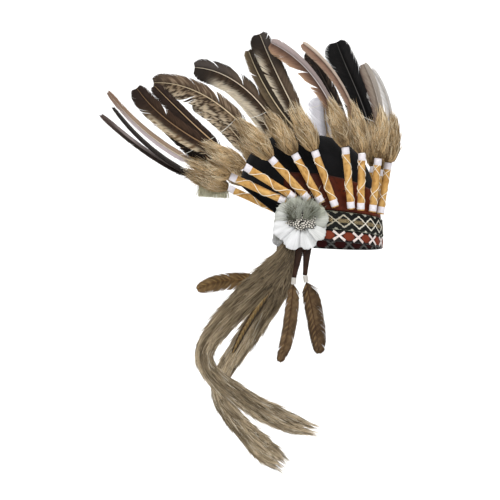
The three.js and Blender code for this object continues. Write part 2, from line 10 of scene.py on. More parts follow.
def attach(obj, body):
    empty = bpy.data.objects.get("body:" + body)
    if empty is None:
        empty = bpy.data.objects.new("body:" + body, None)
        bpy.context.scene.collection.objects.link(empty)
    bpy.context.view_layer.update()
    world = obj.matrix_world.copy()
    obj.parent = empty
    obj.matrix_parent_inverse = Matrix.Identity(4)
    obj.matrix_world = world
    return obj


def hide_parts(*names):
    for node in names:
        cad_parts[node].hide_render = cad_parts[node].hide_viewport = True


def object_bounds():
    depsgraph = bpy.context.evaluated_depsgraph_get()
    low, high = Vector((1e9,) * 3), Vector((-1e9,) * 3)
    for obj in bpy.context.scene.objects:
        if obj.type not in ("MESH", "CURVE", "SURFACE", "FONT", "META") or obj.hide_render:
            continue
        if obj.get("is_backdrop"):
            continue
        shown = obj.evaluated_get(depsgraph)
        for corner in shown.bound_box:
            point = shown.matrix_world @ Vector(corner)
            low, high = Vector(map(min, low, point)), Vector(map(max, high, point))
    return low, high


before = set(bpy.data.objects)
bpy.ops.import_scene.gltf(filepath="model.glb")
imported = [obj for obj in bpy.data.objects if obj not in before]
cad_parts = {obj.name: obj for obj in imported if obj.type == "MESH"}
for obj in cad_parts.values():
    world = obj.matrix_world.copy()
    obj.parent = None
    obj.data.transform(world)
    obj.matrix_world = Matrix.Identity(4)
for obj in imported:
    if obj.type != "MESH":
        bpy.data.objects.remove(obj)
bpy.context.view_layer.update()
rng = np.random.default_rng(11)
share = 1.0


# Colours and noise.


def linear(colour):
    """A tuple is an sRGB colour in percent and is made linear. An array is linear already."""
    if not isinstance(colour, tuple):
        return colour
    c = np.array(colour, float) / 100
    return np.where(c <= 0.04045, c / 12.92, ((c + 0.055) / 1.055) ** 2.4)


def mix(a, b, t):
    t = np.clip(np.asarray(t, float), 0, 1)[..., None]
    return linear(a) * (1 - t) + linear(b) * t


def smooth(x, low, high):
    t = np.clip((np.asarray(x, float) - low) / (high - low), 0, 1)
    return t * t * (3 - 2 * t)


def noise(x, y, seed):
    """Smooth value noise from 0 to 1, one cell a unit."""
    table = np.random.default_rng(seed).random((64, 64))
    x, y = np.broadcast_arrays(np.asarray(x, float), np.asarray(y, float))
    i, j = np.floor(x).astype(int), np.floor(y).astype(int)
    u, v = x - i, y - j
    u, v = u * u * (3 - 2 * u), v * v * (3 - 2 * v)
    at = lambda a, b: table[a % 64, b % 64]
    low = at(i, j) * (1 - u) + at(i + 1, j) * u
    high = at(i, j + 1) * (1 - u) + at(i + 1, j + 1) * u
    return low * (1 - v) + high * v


def unit(v):
    return v / np.maximum(np.linalg.norm(v, axis=-1, keepdims=True), 1e-9)


# Meshes.


class Heap:
    """Closed shapes that become one piece. mirrored turns the right side into the left."""

    def __init__(self, mirrored=False):
        self.verts, self.faces, self.tints, self.count = [], [], [], 0
        self.mirrored = mirrored

    def add(self, verts, faces, tint):
        verts = np.asarray(verts, float).reshape(-1, 3)
        tint = np.broadcast_to(linear(tint).reshape(-1, 3), verts.shape)
        if self.mirrored:
            verts = verts * np.array([1.0, -1.0, 1.0])
            faces = [f[:, ::-1] for f in faces]
        self.faces += [np.asarray(f) + self.count for f in faces]
        self.verts.append(verts)
        self.tints.append(tint)
        self.count += len(verts)

    def strands(self, paths, thick, low, high, power=1.0):
        """Three-sided tubes that run from colour low to colour high."""
        n, k, _ = paths.shape
        self.add(*tubes(paths, thick), strand_tint(n, k, 3, low, high, power))

    def piece(self, name, material, nodes):
        verts, tints = np.concatenate(self.verts), np.concatenate(self.tints)
        corners = np.concatenate([f.ravel() for f in self.faces]).astype(np.int32)
        sizes = np.concatenate([np.full(len(f), f.shape[1]) for f in self.faces])
        mesh = bpy.data.meshes.new(name)
        mesh.vertices.add(len(verts))
        mesh.vertices.foreach_set("co", (verts * 0.001).astype(np.float32).ravel())
        mesh.loops.add(len(corners))
        mesh.loops.foreach_set("vertex_index", corners)
        mesh.polygons.add(len(sizes))
        starts = np.concatenate([[0], np.cumsum(sizes)[:-1]]).astype(np.int32)
        mesh.polygons.foreach_set("loop_start", starts)
        mesh.polygons.foreach_set("use_smooth", np.ones(len(sizes), bool))
        colour = mesh.attributes.new("tint", "FLOAT_COLOR", "POINT")
        rgba = np.concatenate([np.clip(tints, 0, 1), np.ones((len(verts), 1))], 1)
        colour.data.foreach_set("color", rgba.astype(np.float32).ravel())
        mesh.update(calc_edges=True)
        mesh.materials.append(material)
        made = bpy.data.objects.new(name, mesh)
        bpy.context.scene.collection.objects.link(made)
        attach(made, "root")
        if nodes:
            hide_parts(*nodes)


def tubes(paths, radii, sides=3, flat=1.0, across=None):
    """Closed tapered tubes along paths (n, k, 3). across is the wide direction of a flat one."""
    paths = np.asarray(paths, float)
    n, k, _ = paths.shape
    radii = np.broadcast_to(np.asarray(radii, float), (n, k))
    t = unit(np.gradient(paths, axis=1))
    if across is None:
        ref = np.where(np.abs(t[:, :1, 2:3]) < 0.9, [[[0, 0, 1.0]]], [[[1.0, 0, 0]]])
        across = np.cross(t, np.broadcast_to(ref, t.shape))
    across = np.broadcast_to(across, t.shape)
    a = unit(across - t * np.sum(across * t, -1, keepdims=True))
    b = np.cross(t, a)
    turn = 2 * np.pi * np.arange(sides) / sides
    ring = (
        a[:, :, None] * np.cos(turn)[:, None] + flat * b[:, :, None] * np.sin(turn)[:, None]
    )
    verts = paths[:, :, None] + ring * radii[:, :, None, None]
    index = np.arange(n * k * sides).reshape(n, k, sides)
    nxt = np.roll(index, -1, axis=2)
    quads = np.stack([index[:, :-1], nxt[:, :-1], nxt[:, 1:], index[:, 1:]], -1)
    return verts.reshape(-1, 3), [quads.reshape(-1, 4), index[:, 0, ::-1], index[:, -1]]


def strand_tint(n, k, sides, low, high, power=1.0):
    """Colours of tubes that run from low (n or 1, 3) to high along their length."""
    q = (np.linspace(0, 1, k) ** power)[None, :, None]
    c = linear(low).reshape(-1, 1, 3) * (1 - q) + linear(high).reshape(-1, 1, 3) * q
    c = np.broadcast_to(c, (n, k, 3))
    return np.repeat(c[:, :, None], sides, axis=2).reshape(-1, 3)


def grid_shell(outer, inner, tint_out, tint_in):
    """Closed sheet between two grids (r, c, 3). outer faces out when c turns left of r."""
    r, c, _ = outer.shape
    index = np.arange(r * c).reshape(r, c)
    top = np.stack([index[:-1, :-1], index[:-1, 1:], index[1:, 1:], index[1:, :-1]], -1)
    top = top.reshape(-1, 4)
    edge = np.concatenate([index[0, :-1], index[:-1, -1], index[-1, :0:-1], index[:0:-1, 0]])
    nxt = np.roll(edge, -1)
    rim = np.stack([edge, edge + r * c, nxt + r * c, nxt], -1)
    verts = np.concatenate([outer.reshape(-1, 3), inner.reshape(-1, 3)])
    tint = np.concatenate([
        np.broadcast_to(linear(tint_out), outer.shape).reshape(-1, 3),
        np.broadcast_to(linear(tint_in), inner.shape).reshape(-1, 3),
    ])
    return verts, [top, top[:, ::-1] + r * c, rim], tint


def ring_grid(rows, cols):
    """Indexes of a grid whose rows close into rings, each one's neighbour, and the quads."""
    index = np.arange(rows * cols).reshape(rows, cols)
    nxt = np.roll(index, -1, axis=1)
    quads = np.stack([index[:-1], index[1:], nxt[1:], nxt[:-1]], -1).reshape(-1, 4)
    return index, nxt, quads


# Materials.


def fill(node, **values):
    """Sets a shader node's inputs. An underscore stands for a space in an input's name."""
    for name, value in values.items():
        node.inputs[name.replace("_", " ")].default_value = value
    return node


def material(name, rough, grain, scale, sheen, bump=0.0, through=0.0):
    """Principled surface that takes its colour from the piece, with a fine grain over it."""
    m = bpy.data.materials.new(name)
    m.use_nodes = True
    nodes = m.node_tree.nodes
    shader = fill(nodes["Principled BSDF"], Roughness=rough, Sheen_Weight=sheen)
    fill(shader, Sheen_Roughness=0.5, Specular_IOR_Level=0.16)
    tint = nodes.new("ShaderNodeAttribute")
    tint.attribute_name = "tint"
    place = nodes.new("ShaderNodeTexCoord")
    texture = fill(nodes.new("ShaderNodeTexNoise"), Scale=scale, Detail=4)
    span = fill(nodes.new("ShaderNodeMapRange"), To_Min=1 - grain, To_Max=1 + grain)
    times = nodes.new("ShaderNodeVectorMath")
    times.operation = "SCALE"
    wires = [
        (place, "Object", texture, "Vector"),
        (texture, "Fac", span, "Value"),
        (tint, "Color", times, 0),
        (span, "Result", times, "Scale"),
        (times, "Vector", shader, "Base Color"),
    ]
    if bump:
        relief = fill(nodes.new("ShaderNodeBump"), Strength=0.6, Distance=bump)
        wires += [(texture, "Fac", relief, "Height"), (relief, "Normal", shader, "Normal")]
    if through:
        glow = nodes.new("ShaderNodeBsdfTranslucent")
        both = fill(nodes.new("ShaderNodeMixShader"), Fac=through)
        wires += [(times, "Vector", glow, "Color"), (shader, "BSDF", both, 1)]
        wires += [(glow, "BSDF", both, 2), (both, "Shader", nodes["Material Output"], "Surface")]
    for start, out, end, into in wires:
        m.node_tree.links.new(start.outputs[out], end.inputs[into])
    return m


felt = material("felt", 0.95, 0.4, 900, 0.02, 0.0006)
leather = material("leather", 0.6, 0.25, 260, 0, 0.0004)
weave = material("weave", 0.9, 0.15, 1500, 0, 0.0002)
suede = material("suede", 0.85, 0.18, 300, 0.05, 0.0004)
plumage = material("plumage", 0.6, 0.08, 700, 0.02, 0, 0.08)
fur = material("fur", 0.6, 0.1, 500, 0.02)
petal_skin = material("petal_skin", 0.7, 0.05, 500, 0.1, 0, 0.15)

# The headdress's own sizes, as in its CAD.

CROWN_FRONT, CROWN_BACK, CROWN_HALF, CROWN_HIGH = 96.0, 104.0, 78.0, 152.0
CROWN_POWER, CROWN_LEAN, FELT = 3, 0.1, 2.2
NAPE_RISE, NAPE_START, NAPE_POWER = 77.0, 98.0, 0.55
BAND_GAP, RIM, STRIP_HIGH, STRIP_THICK = 0.5, 0.4, 15.0, 2.4
BROW_HIGH, BROW_THICK = 25.0, 4.2
PANEL_FRONT, PANEL_RISE, PANEL_THICK = 34.0, 15.0, 2.2
BAND_END, PANEL_END = 90.0, 112.5
CROSS_STEP, CROSS_HALF, CROSS_R = 17.6, 5.0, 1.7
OVAL_HALF, OVAL_HIGH = 5.6, 6.2
STICK_LONG, STICK_R, TAPE = 78.0, 4.9, 9.5
SEAT = 0.3  # gap between pieces that rest on each other
FEATHER_LONG, FEATHER_WIDE, NARROW = 180.0, 33.0, 0.42
TUFT_LONG, TUFT_WIDE = 64.0, 24.0
ROSE_R, ROSE_BACK, ROSE_UP = 39.0, 20.5, 21.7
TAIL_LONG, TAIL_WIDE, TAIL_DEEP, TAIL_OUT = 382.0, 33.0, 25.0, 14.0
DROP_LONG, DROP_WIDE = 108.0, 22.0
WRAP_LONG, WRAP_R = 9.0, 3.4
TAIL_START = -1.2  # height at which tails and thongs start behind a rosette
BROW_LOW = RIM + STRIP_HIGH + RIM
BROW_TOP = BROW_LOW + BROW_HIGH
PANEL_LOW = BROW_TOP + RIM
ROSE = np.array([-ROSE_BACK, -(CROWN_HALF + BAND_GAP + BROW_THICK + SEAT), ROSE_UP])


def crown(degrees, z, offset):
    """Point on the crown, or on a shell that lies offset outside it."""
    degrees, z, offset = np.broadcast_arrays(
        np.asarray(degrees, float), np.asarray(z, float), np.asarray(offset, float)
    )
    angle = np.radians(degrees)
    part = np.clip(z / (CROWN_HIGH + offset), 0, 1)
    part = np.clip(1 - part**CROWN_POWER, 0, 1) ** (1 / CROWN_POWER)
    reach = np.where(np.cos(angle) > 0, CROWN_FRONT, CROWN_BACK)
    x = (reach + offset) * part * np.cos(angle) - CROWN_LEAN * z
    y = -(CROWN_HALF + offset) * part * np.sin(angle)
    return np.stack([x, y, z], -1)


def rim_height(degrees):
    turn = np.abs((np.asarray(degrees, float) + 180) % 360 - 180)
    part = np.clip((turn - NAPE_START) / (180 - NAPE_START), 0, 1)
    return RIM + NAPE_RISE * np.sin(part * np.pi / 2) ** NAPE_POWER


def panel_top(degrees):
    part = np.clip(np.abs(degrees) / BAND_END, 0, 1)
    return PANEL_LOW + PANEL_FRONT + PANEL_RISE * np.sin(part * np.pi / 2) ** 2


def heading(lean, flare):
    """Way that leans from straight up to the back, and flares out to the right."""
    lean, flare = np.radians(lean), np.radians(flare)
    x, z = -np.sin(lean) * np.cos(flare), np.cos(lean) * np.cos(flare)
    return np.stack([x, -np.sin(flare) + 0 * lean, z], -1)


def tilt(row, along):
    """Lean of a feather along its length: a parabola through its start, middle and tip."""
    rise = -3 * row["start"] + 4 * row["middle"] - row["tip"]
    bend = 2 * row["start"] - 4 * row["middle"] + 2 * row["tip"]
    return row["start"] + rise * along + bend * along * along


LINE_STEPS = 120


def feather_line(base, row, length):
    """Centres, directions, sides and faces at even places along a feather."""
    along = np.linspace(0, 1, LINE_STEPS + 1)
    middle = (along[1:] + along[:-1]) / 2
    steps = heading(tilt(row, middle), row["flare"]) * length / LINE_STEPS
    centre = np.asarray(base) + np.concatenate([[[0, 0, 0]], np.cumsum(steps, 0)])
    way = heading(tilt(row, along), row["flare"])
    facing = math.radians(row["facing"])
    look = np.array([math.cos(facing), -math.sin(facing), 0])
    face = unit(look - way * (way @ look)[:, None])
    return centre, way, np.cross(way, face), face


def on_line(line, along, length=None):
    """The line's four vectors at places along it. Beyond its end it goes straight on."""
    along = np.asarray(along, float)
    steps = len(line[0]) - 1
    inside = np.clip(along, 0, 1)
    i = np.minimum((inside * steps).astype(int), steps - 1)
    part = (inside * steps - i)[..., None]
    out = [v[i] * (1 - part) + v[i + 1] * part for v in line]
    length = length or np.linalg.norm(line[0][1] - line[0][0]) * steps
    out[0] = out[0] + out[1] * ((along - inside) * length)[..., None]
    return out


# Feathers. OUT_AT and OUT_WIDE are the outline: places along the feather, and its width there.

OUT_AT = np.array([0, 0.2, 0.24, 0.3, 0.4, 0.54, 0.7, 0.84, 0.92, 0.96, 0.985, 1.0])
OUT_WIDE = np.array([0, 0.15, 0.45, 0.75, 0.9, 0.96, 1.0, 0.99, 0.93, 0.82, 0.62, 0.36])
DROP_OUT_AT = np.array([0, 0.06, 0.14, 0.28, 0.45, 0.65, 0.8, 0.9, 0.97, 1.0])
DROP_OUT_WIDE = np.array([0.25, 0.62, 0.84, 0.98, 1.0, 0.97, 0.9, 0.74, 0.5, 0.2])

SOOT = (15, 12, 10)

# A look colours a vane: u runs along the feather, v from the rachis to the edge, and lead is
# the narrow vane.


def banded(u, v, lead, seed):
    """Grey-brown narrow vane. The wide one is dark by the rachis and mottled cream at its edge."""
    streak = noise(u * 90, v * 2, seed)
    if lead:
        c = mix((46, 39, 32), (33, 27, 22), streak)
        c = mix(c, (30, 27, 25), smooth(u, 0.55, 0.85))
        return mix(c, (17, 14, 13), smooth(v, 0.6, 0.95) * smooth(u, 0.35, 0.65))
    spots = noise(u * 130, v * 9, seed + 3)
    inner = mix((17, 13, 10), (31, 24, 18), streak)
    spotted = smooth(spots, 0.5, 0.8) * (0.9 - 0.7 * v)
    pale = mix((90, 85, 76), (55, 45, 34), spotted)
    edge = smooth(v + 0.08 * (streak - 0.5) + 0.3 * (spots - 0.5), 0.3, 0.66)
    c = mix(inner, pale, edge * (1 - smooth(u, 0.76, 0.92)))
    return mix(c, (19, 16, 14), smooth(u, 0.76, 0.95))


def speckled(u, v, lead, seed):
    """Dark with a net of pale speckles, closer by the edge."""
    bend = 0.8 * noise(u * 20, v * 3, seed + 2)
    cells = noise(u * 78 + v * 5 + bend, v * 8, seed) * 0.75
    cells = cells + noise(u * 150, v * 9, seed + 1) * 0.25
    dark, pale = (27, 21, 16), (84, 77, 66)
    if lead:
        c = mix(dark, (44, 36, 29), 0.5)
        c = mix(c, (58, 50, 41), smooth(cells, 0.5, 0.68))
    else:
        pale = mix((62, 53, 42), pale, smooth(v, 0.15, 0.7))
        c = mix(dark, pale, smooth(cells, 0.42 - 0.06 * v, 0.58))
    return mix(c, (23, 19, 16), smooth(u, 0.84, 0.98) * 0.75)


def brown(u, v, lead, seed):
    """Dark brown, with mottled cream along the wide vane's edge."""
    streak = noise(u * 80, v * 2, seed)
    c = mix((17, 12, 9), (31, 23, 17), streak)
    if not lead:
        cells = noise(u * 70, v * 7, seed + 2)
        edge = smooth(v + 0.2 * (cells - 0.5), 0.32, 0.62) * (1 - smooth(u, 0.72, 0.86))
        pale = mix((87, 80, 68), (52, 42, 31), smooth(cells, 0.45, 0.7))
        c = mix(c, pale, edge * 0.92)
    return mix(c, (20, 15, 13), smooth(u, 0.8, 0.95))


def plain(a, b, edge=None, tip=None, front=None):
    """Even colour between a and b, with its own colour at the wide edge, the tip or the front."""

    def look(u, v, lead, seed):
        streak = noise(u * 70, v * 2, seed)
        c = mix(a, b, streak)
        if front is not None and lead:
            c = mix(c, front, 0.85)
        if edge is not None and not lead:
            c = mix(c, edge, smooth(v, 0.45, 0.95))
        if tip is not None:
            c = mix(c, tip, smooth(u, 0.7, 0.95))
        return c

    return look


def flecked(u, v, lead, seed):
    """Nearly black with fine tan flecks by the edge."""
    cells = noise(u * 120, v * 12, seed)
    c = mix((12, 10, 9), (20, 16, 14), noise(u * 60, v * 2, seed + 1))
    return mix(c, (48, 40, 33), smooth(cells, 0.62, 0.8) * smooth(v, 0.2, 0.6) * 0.8)


def barred(u, v, lead, seed):
    """Brown with a reticulated pale pattern by the rachis of a small hanging feather."""
    wave = np.sin((u * 13 + v * 1.4 + 0.7 * noise(u * 9, v * 2, seed)) * 2 * np.pi)
    c = mix((33, 26, 18), (49, 39, 28), noise(u * 30, v * 2, seed))
    c = mix(c, (20, 13, 8), 0.6 * smooth(noise(u * 6, v * 2, seed + 4), 0.5, 0.85))
    near = (1 - smooth(v, 0.3, 0.65)) * (0.75 if lead else 0.35)
    return mix(c, (74, 60, 40), 0.5 * smooth(wave, 0.45, 0.8) * near)


def golden(u, v, lead, seed):
    """Golden by the rachis with a dark wavy outline, as on the far hanging feather."""
    wave = np.sin((u * 16 + 0.5 * noise(u * 9, v * 2, seed)) * 2 * np.pi)
    c = mix((62, 48, 28), (86, 73, 50), 0.5 + 0.5 * wave)
    return mix(c, (20, 15, 9), smooth(v + 0.12 * wave, 0.2, 0.5))


def amber(u, v, lead, seed):
    """Pale brown with a creamy wave by the rachis."""
    return np.clip(barred(u, v, lead, seed) * np.array([1.7, 1.7, 1.5]), 0, 1)


# Each look's paint and the colour of its rachis.
LOOKS = {
    "banded": (banded, (90, 84, 74)),
    "speckled": (speckled, (88, 80, 66)),
    "brown": (brown, (60, 48, 35)),
    "darkbrown": (plain((16, 12, 10), (24, 18, 15)), (78, 66, 50)),
    "soot": (plain(SOOT, (20, 16, 14)), SOOT),
    "olive": (plain((42, 36, 28), (30, 25, 19), (50, 43, 33), None, SOOT), (82, 75, 62)),
    "pink": (plain((66, 52, 44), (56, 43, 36), (68, 58, 50), None, (84, 77, 70)), (42, 33, 28)),
    "rose": (plain((52, 40, 33), (42, 31, 26), (76, 62, 50), None, (70, 64, 63)), (85, 81, 80)),
    "grey": (plain((72, 66, 60), (60, 54, 49), (36, 28, 24), None, (76, 72, 68)), (80, 76, 72)),
    "white": (plain((95, 94, 93), (88, 86, 84)), (84, 79, 74)),
    "lavender": (plain((97, 96.5, 98.5), (93, 92, 95)), (47, 40, 32)),
    "black": (plain((7, 7, 7.5), (12, 11, 11)), (42, 41, 40)),
    "flecked": (flecked, (30, 26, 23)),
    "cream": (plain((86, 80, 80), (76, 70, 71), None, (60, 48, 40), (72, 60, 48)), (95, 90, 80)),
    "twotone": (plain(SOOT, (22, 17, 15), None, (35, 28, 26), (78, 72, 71)), (50, 44, 40)),
    "drop": (barred, (30, 20, 12)),
    "golden": (golden, (90, 78, 54)),
    "amber": (amber, (62, 46, 28)),
}
MARKED = ("banded", "speckled", "brown", "flecked", "drop")  # looks that need fine barbs

VANE_START, DROP_VANE_START, VANE_END = 0.235, 0.02, 0.985  # shares of a feather's length
SHAFT_R, LAVENDER_SHAFT_R, DROP_SHAFT_R = 1.15, 2.4, 0.7
BARB_STEP = 1.04  # along the rachis
LEAD_SLOPE, WIDE_SLOPE = 34, 42  # degrees from the rachis to a barb
SPLITS = 2  # in a vane
SPLIT_FADE, NOTCH_FADE = 8, 12  # over which the barbs beside a gap close up


def feather(heap, base, row, look, seed, full=(FEATHER_LONG, FEATHER_WIDE), small=False):
    """Rachis and two vanes of single barbs, with splits where barbs part. Returns its line."""
    own = np.random.default_rng(seed)
    length, width = full[0] * row["length"], full[1] * row["width"]
    at, wide = (DROP_OUT_AT, DROP_OUT_WIDE) if small else (OUT_AT, OUT_WIDE)
    first = DROP_VANE_START if small else VANE_START
    line = feather_line(base, row, length)
    paint, shaft = LOOKS[look]
    shaft = linear(shaft)
    s = np.linspace(0, VANE_END, 30)
    centre, _, side, face = on_line(line, s)
    thick = DROP_SHAFT_R if small else LAVENDER_SHAFT_R if look == "lavender" else SHAFT_R
    path = centre + face * (0.25 * (1 - s))[:, None]
    tint = strand_tint(1, len(s), 6, mix(shaft, shaft * 0.75, 0.2), shaft)
    heap.add(*tubes(path[None], thick * (1 - 0.78 * s), 6, 0.8, side), tint)
    for lead in (True, False):
        reach = width * (NARROW if lead else 1 - NARROW)
        count = int((1 - first) * length / BARB_STEP)
        t = np.linspace(first, VANE_END, count)
        shift = reach / math.tan(math.radians(LEAD_SLOPE if lead else WIDE_SLOPE)) / length
        tip = t + shift * np.minimum(1, (1 - t) / (1.6 * shift))
        across = reach * np.interp(tip, at, wide)
        across *= 0.975 + 0.05 * noise(t * 34, 0, seed + 5) + 0.012 * own.standard_normal(count)
        splits = 0 if look == "black" else SPLITS
        places, sizes = own.uniform(first + 0.1, 0.92, splits), own.uniform(0.5, 1.8, splits)
        gaps = [(p, g, SPLIT_FADE) for p, g in zip(places, sizes)]
        gaps += [(p, g, NOTCH_FADE) for p, g, which in row.get("notches", ()) if which == lead]
        part = np.zeros(count)
        for p, g, fade in gaps:
            away = (t - p) * length
            part += g * np.sign(away) * np.exp(-np.abs(away) / fade)
        part += (0.04 if look == "black" else 0.12) * own.standard_normal(count)
        loose = (1 - smooth(t, first, first + 0.1))[:, None]
        q = np.linspace(0, 1, 9 if look in MARKED and not lead else 4)
        along = t[:, None] + (tip - t)[:, None] * q**1.1 + part[:, None] * q**2 / length
        along += loose * own.standard_normal((count, 1)) * 0.02 * q**2
        out = across[:, None] * (1 - (1 - q) ** 1.25)
        centre, _, side, face = on_line(line, along)
        stray = 0.5 * loose * own.standard_normal((count, 1)) * q**2 * 5
        lift = -0.11 * out**2 / reach - stray + 0.05 * own.standard_normal((count, 1)) * q
        sign = 1 if lead else -1
        path = centre + side * (sign * out)[..., None] + face * lift[..., None]
        radius = (1 - first) * length / count * 0.68 * (1 - 0.25 * q)
        radius = radius * np.where((loose > 0.6) & (not small), 0.45, 1)
        radius[:, -1] *= 0.4
        tint = paint(along, np.broadcast_to(q, along.shape), lead, seed)
        shade = 1 + 0.045 * own.standard_normal((count, 1, 1))
        # Painted shadow: each barb is darker at its base beside the rachis. shade is a random tone
        # for each barb.
        tint = tint * (0.78 + 0.22 * smooth(q, 0, 0.2))[:, None] * shade
        tint = np.repeat(tint[:, :, None], 3, axis=2)
        heap.add(*tubes(path, radius, 3, 0.35, unit(np.gradient(centre, axis=1))), tint)
    return line


FRINGE_DROP = 15  # how far the last tuft's fringe hangs below its stick's end
TUFT_AT = np.array([0, 0.08, 0.3, 0.5, 0.75, 1.0, 1.25])
TUFT_R = np.array([0.5, 0.84, 1.06, 1.0, 0.8, 0.52, 0.3])
TUFT_STRANDS, FRINGE_STRANDS = int(720 * share), int(300 * share)


def tuft(heap, base, row, seed, pale=1.0, fringe=False):
    """Fur of a tuft: a dark body under clumped strands that end in a loose pale brush.

    A fringe is a row of pale strands that hang from its underside to one level.
    """
    own = np.random.default_rng(seed)
    radius = TUFT_WIDE / 2 * row["tuft"]
    line = feather_line(base, row, FEATHER_LONG * row["length"])
    scale = TUFT_LONG * min(1, row["tuft"] + 0.1) / (FEATHER_LONG * row["length"])
    s = np.linspace(0, 0.86, 12)
    centre, _, side, _ = on_line(line, s * scale)
    body = radius * 0.84 * np.interp(s, TUFT_AT, TUFT_R) * (1 - smooth(s, 0.5, 0.9) * 0.75)
    heap.add(*tubes(centre[None], body, 14, 1, side), (50, 40, 27))
    count = TUFT_STRANDS
    start = own.uniform(0, 0.76, count) ** 1.15
    turn = own.uniform(0, 2 * np.pi, count)
    reach = own.uniform(0.28, 0.48, count)
    q = np.linspace(0, 1, 4)
    at = start[:, None] + reach[:, None] * q
    fly = np.where(own.random(count) < 0.2, own.uniform(0.1, 0.5, count), -0.08)
    clump = noise(start * 7, turn * 1.6, seed + 1)[:, None]
    swell = 0.9 + 0.1 * own.random((count, 1)) + 0.1 * clump * q
    away = np.interp(at, TUFT_AT, TUFT_R) * swell
    away = away + (fly[:, None] + 0.1 * own.standard_normal((count, 1))) * q**2
    drift = 0.9 * (noise(start * 5 + 9, turn * 1.3, seed + 2)[:, None] - 0.5)
    turn = turn[:, None] + (0.3 * own.standard_normal((count, 1)) + 1.5 * drift) * q
    turn = turn + 0.5 * own.standard_normal((count, 1)) * q**2
    centre, _, side, face = on_line(line, at * scale)
    ring = side * np.cos(turn)[..., None] + face * np.sin(turn)[..., None]
    path = centre + ring * (radius * away)[..., None]
    tone = 0.25 * own.random(count) + 0.75 * smooth(clump[:, 0], 0.28, 0.68)
    root = mix((40, 31, 20), (93, 79, 58), 0.85 * tone + 0.3 * start)
    bright = own.random(count) * pale * (0.3 + 1.2 * tone)
    end = mix((68, 56, 40), (100, 96, 85), bright)
    end[own.random(count) < 0.13] = linear((44, 34, 23))
    heap.strands(path, 0.46 * np.array([1, 0.95, 0.7, 0.16]), root, end, 1.1)
    if fringe:
        count = FRINGE_STRANDS
        where = own.uniform(0.02, 0.7, count)
        top = on_line(line, where[:, None] * scale)[0][:, 0]
        top[:, 1] += own.uniform(-0.5, 0.4, count) * radius
        foot = top.copy()
        foot[:, 0] += 2.5 * own.standard_normal(count)
        foot[:, 2] = base[2] - FRINGE_DROP + 0.6 * own.standard_normal(count)
        q = q[None, :, None]
        tone = own.random(count)
        root = mix((50, 46, 32), (66, 62, 47), tone)
        end = mix((76, 74, 60), (94, 93, 84), tone)
        path = top[:, None] * (1 - q) + foot[:, None] * q
        heap.strands(path, 0.5 * np.array([1, 0.9, 0.8, 0.5]), root, end)


# The plumes' table, as in the CAD.

COLUMNS = "angle foot lean flare stick start middle tip length width tuft facing look".split()
RIGHT = [
    (25, 0.05, -5, 4, 0.92, -8, 13, 44, 0.76, 0.8, 0.94, 28, "white"),
    (38, 0.05, -2, 6, 0.95, -7, 13, 34, 0.74, 0.8, 0.96, 44, "grey"),
    (51.5, 0.05, 3, 8, 0.99, 9, 33, 60, 0.97, 0.64, 0.94, 30, "pink"),
    (60.5, 0.05, 10, 10, 1.08, 19, 39, 72, 0.99, 0.92, 0.94, 32, "rose"),
    (73.5, 0.06, 25, 8, 1.04, 29, 31, 25, 0.96, 0.98, 1, 91, "banded"),
    (84, 0.11, 33.5, 6, 0.97, 36, 49, 94, 1.03, 1, 1, 90, "banded"),
    (93.5, 0.15, 47, 8, 0.97, 44, 58, 100, 1.08, 1, 1, 92, "speckled"),
    (103, 0.17, 63, 10, 1.03, 66, 62, 38, 1, 0.84, 0.84, 96, "brown"),
    (109.5, 0.1, 70, 3, 1.06, 79, 59, 41, 1.13, 0.62, 0.82, 160, "cream"),
]
LEFT = [
    (25, 0.05, -5, 4, 0.92, -8, 12, 36, 0.68, 0.7, 0.94, 24, "white"),
    (38, 0.05, -5, 5, 1, -1, 24, 22, 1.1, 1.3, 0.96, 78, "black"),
    (51.5, 0.05, 6, 5, 1, 6, 25, 32, 1.04, 0.8, 0.94, 60, "flecked"),
    (60.5, 0.05, 10, 6, 1, 25, 14, 4, 0.6, 1.25, 0.6, 84, "lavender"),
    (73.5, 0.06, 22, 6, 1, 24, 28, 28, 0.98, 0.8, 1, 88, "brown"),
    (84, 0.11, 33, 6, 0.97, 32, 37, 72, 1.08, 0.8, 1, 90, "banded"),
    (93.5, 0.15, 46, 8, 0.97, 46, 44, 72, 0.9, 0.8, 1, 92, "speckled"),
    (103, 0.17, 62, 10, 1, 60, 56, 38, 1, 0.7, 0.9, 110, "brown"),
    (109.5, 0.1, 69, 4, 1.12, 79, 58, 39, 1.2, 0.5, 0.95, 158, "soot"),
]
TWIN = "plume start middle tip length width facing look".split()
RIGHT_TWINS = [
    (5, 50, 38.5, 24, 0.9, 0.5, 80, "olive"),
    (8, 60, 52, 50, 0.9, 0.6, 100, "darkbrown"),
    (9, 70, 50, 50, 0.76, 0.6, 120, "soot"),
]
LEFT_TWINS = [(9, 82, 62, 51, 1.24, 0.5, 152, "twotone")]
NOTCHES = {
    ("right", 5): [(0.62, 5, False), (0.5, 4, False)],
    ("right", 6): [(0.6, 8, True), (0.78, 3, True)],
    ("right", 7): [(0.5, 6, True), (0.66, 3, False)],
    ("right", 8): [(0.66, 4, True)],
    ("right", 4): [(0.62, 8, False), (0.46, 6, False)],
}

LACE_R = 0.56  # of the laces round a stick


def white_tape(heap, base, way, side, low, high):
    s = np.array([low, low + 0.4, (low + high) / 2, high - 0.4, high])
    rings = STICK_R + np.array([0.05, 0.35, 0.3, 0.35, 0.05])
    v, f = tubes((base + way * s[:, None])[None], rings, 20, 1, side)
    heap.add(v, f, linear((93, 91, 93)) * (0.93 + 0.1 * rng.random((len(v), 1))))


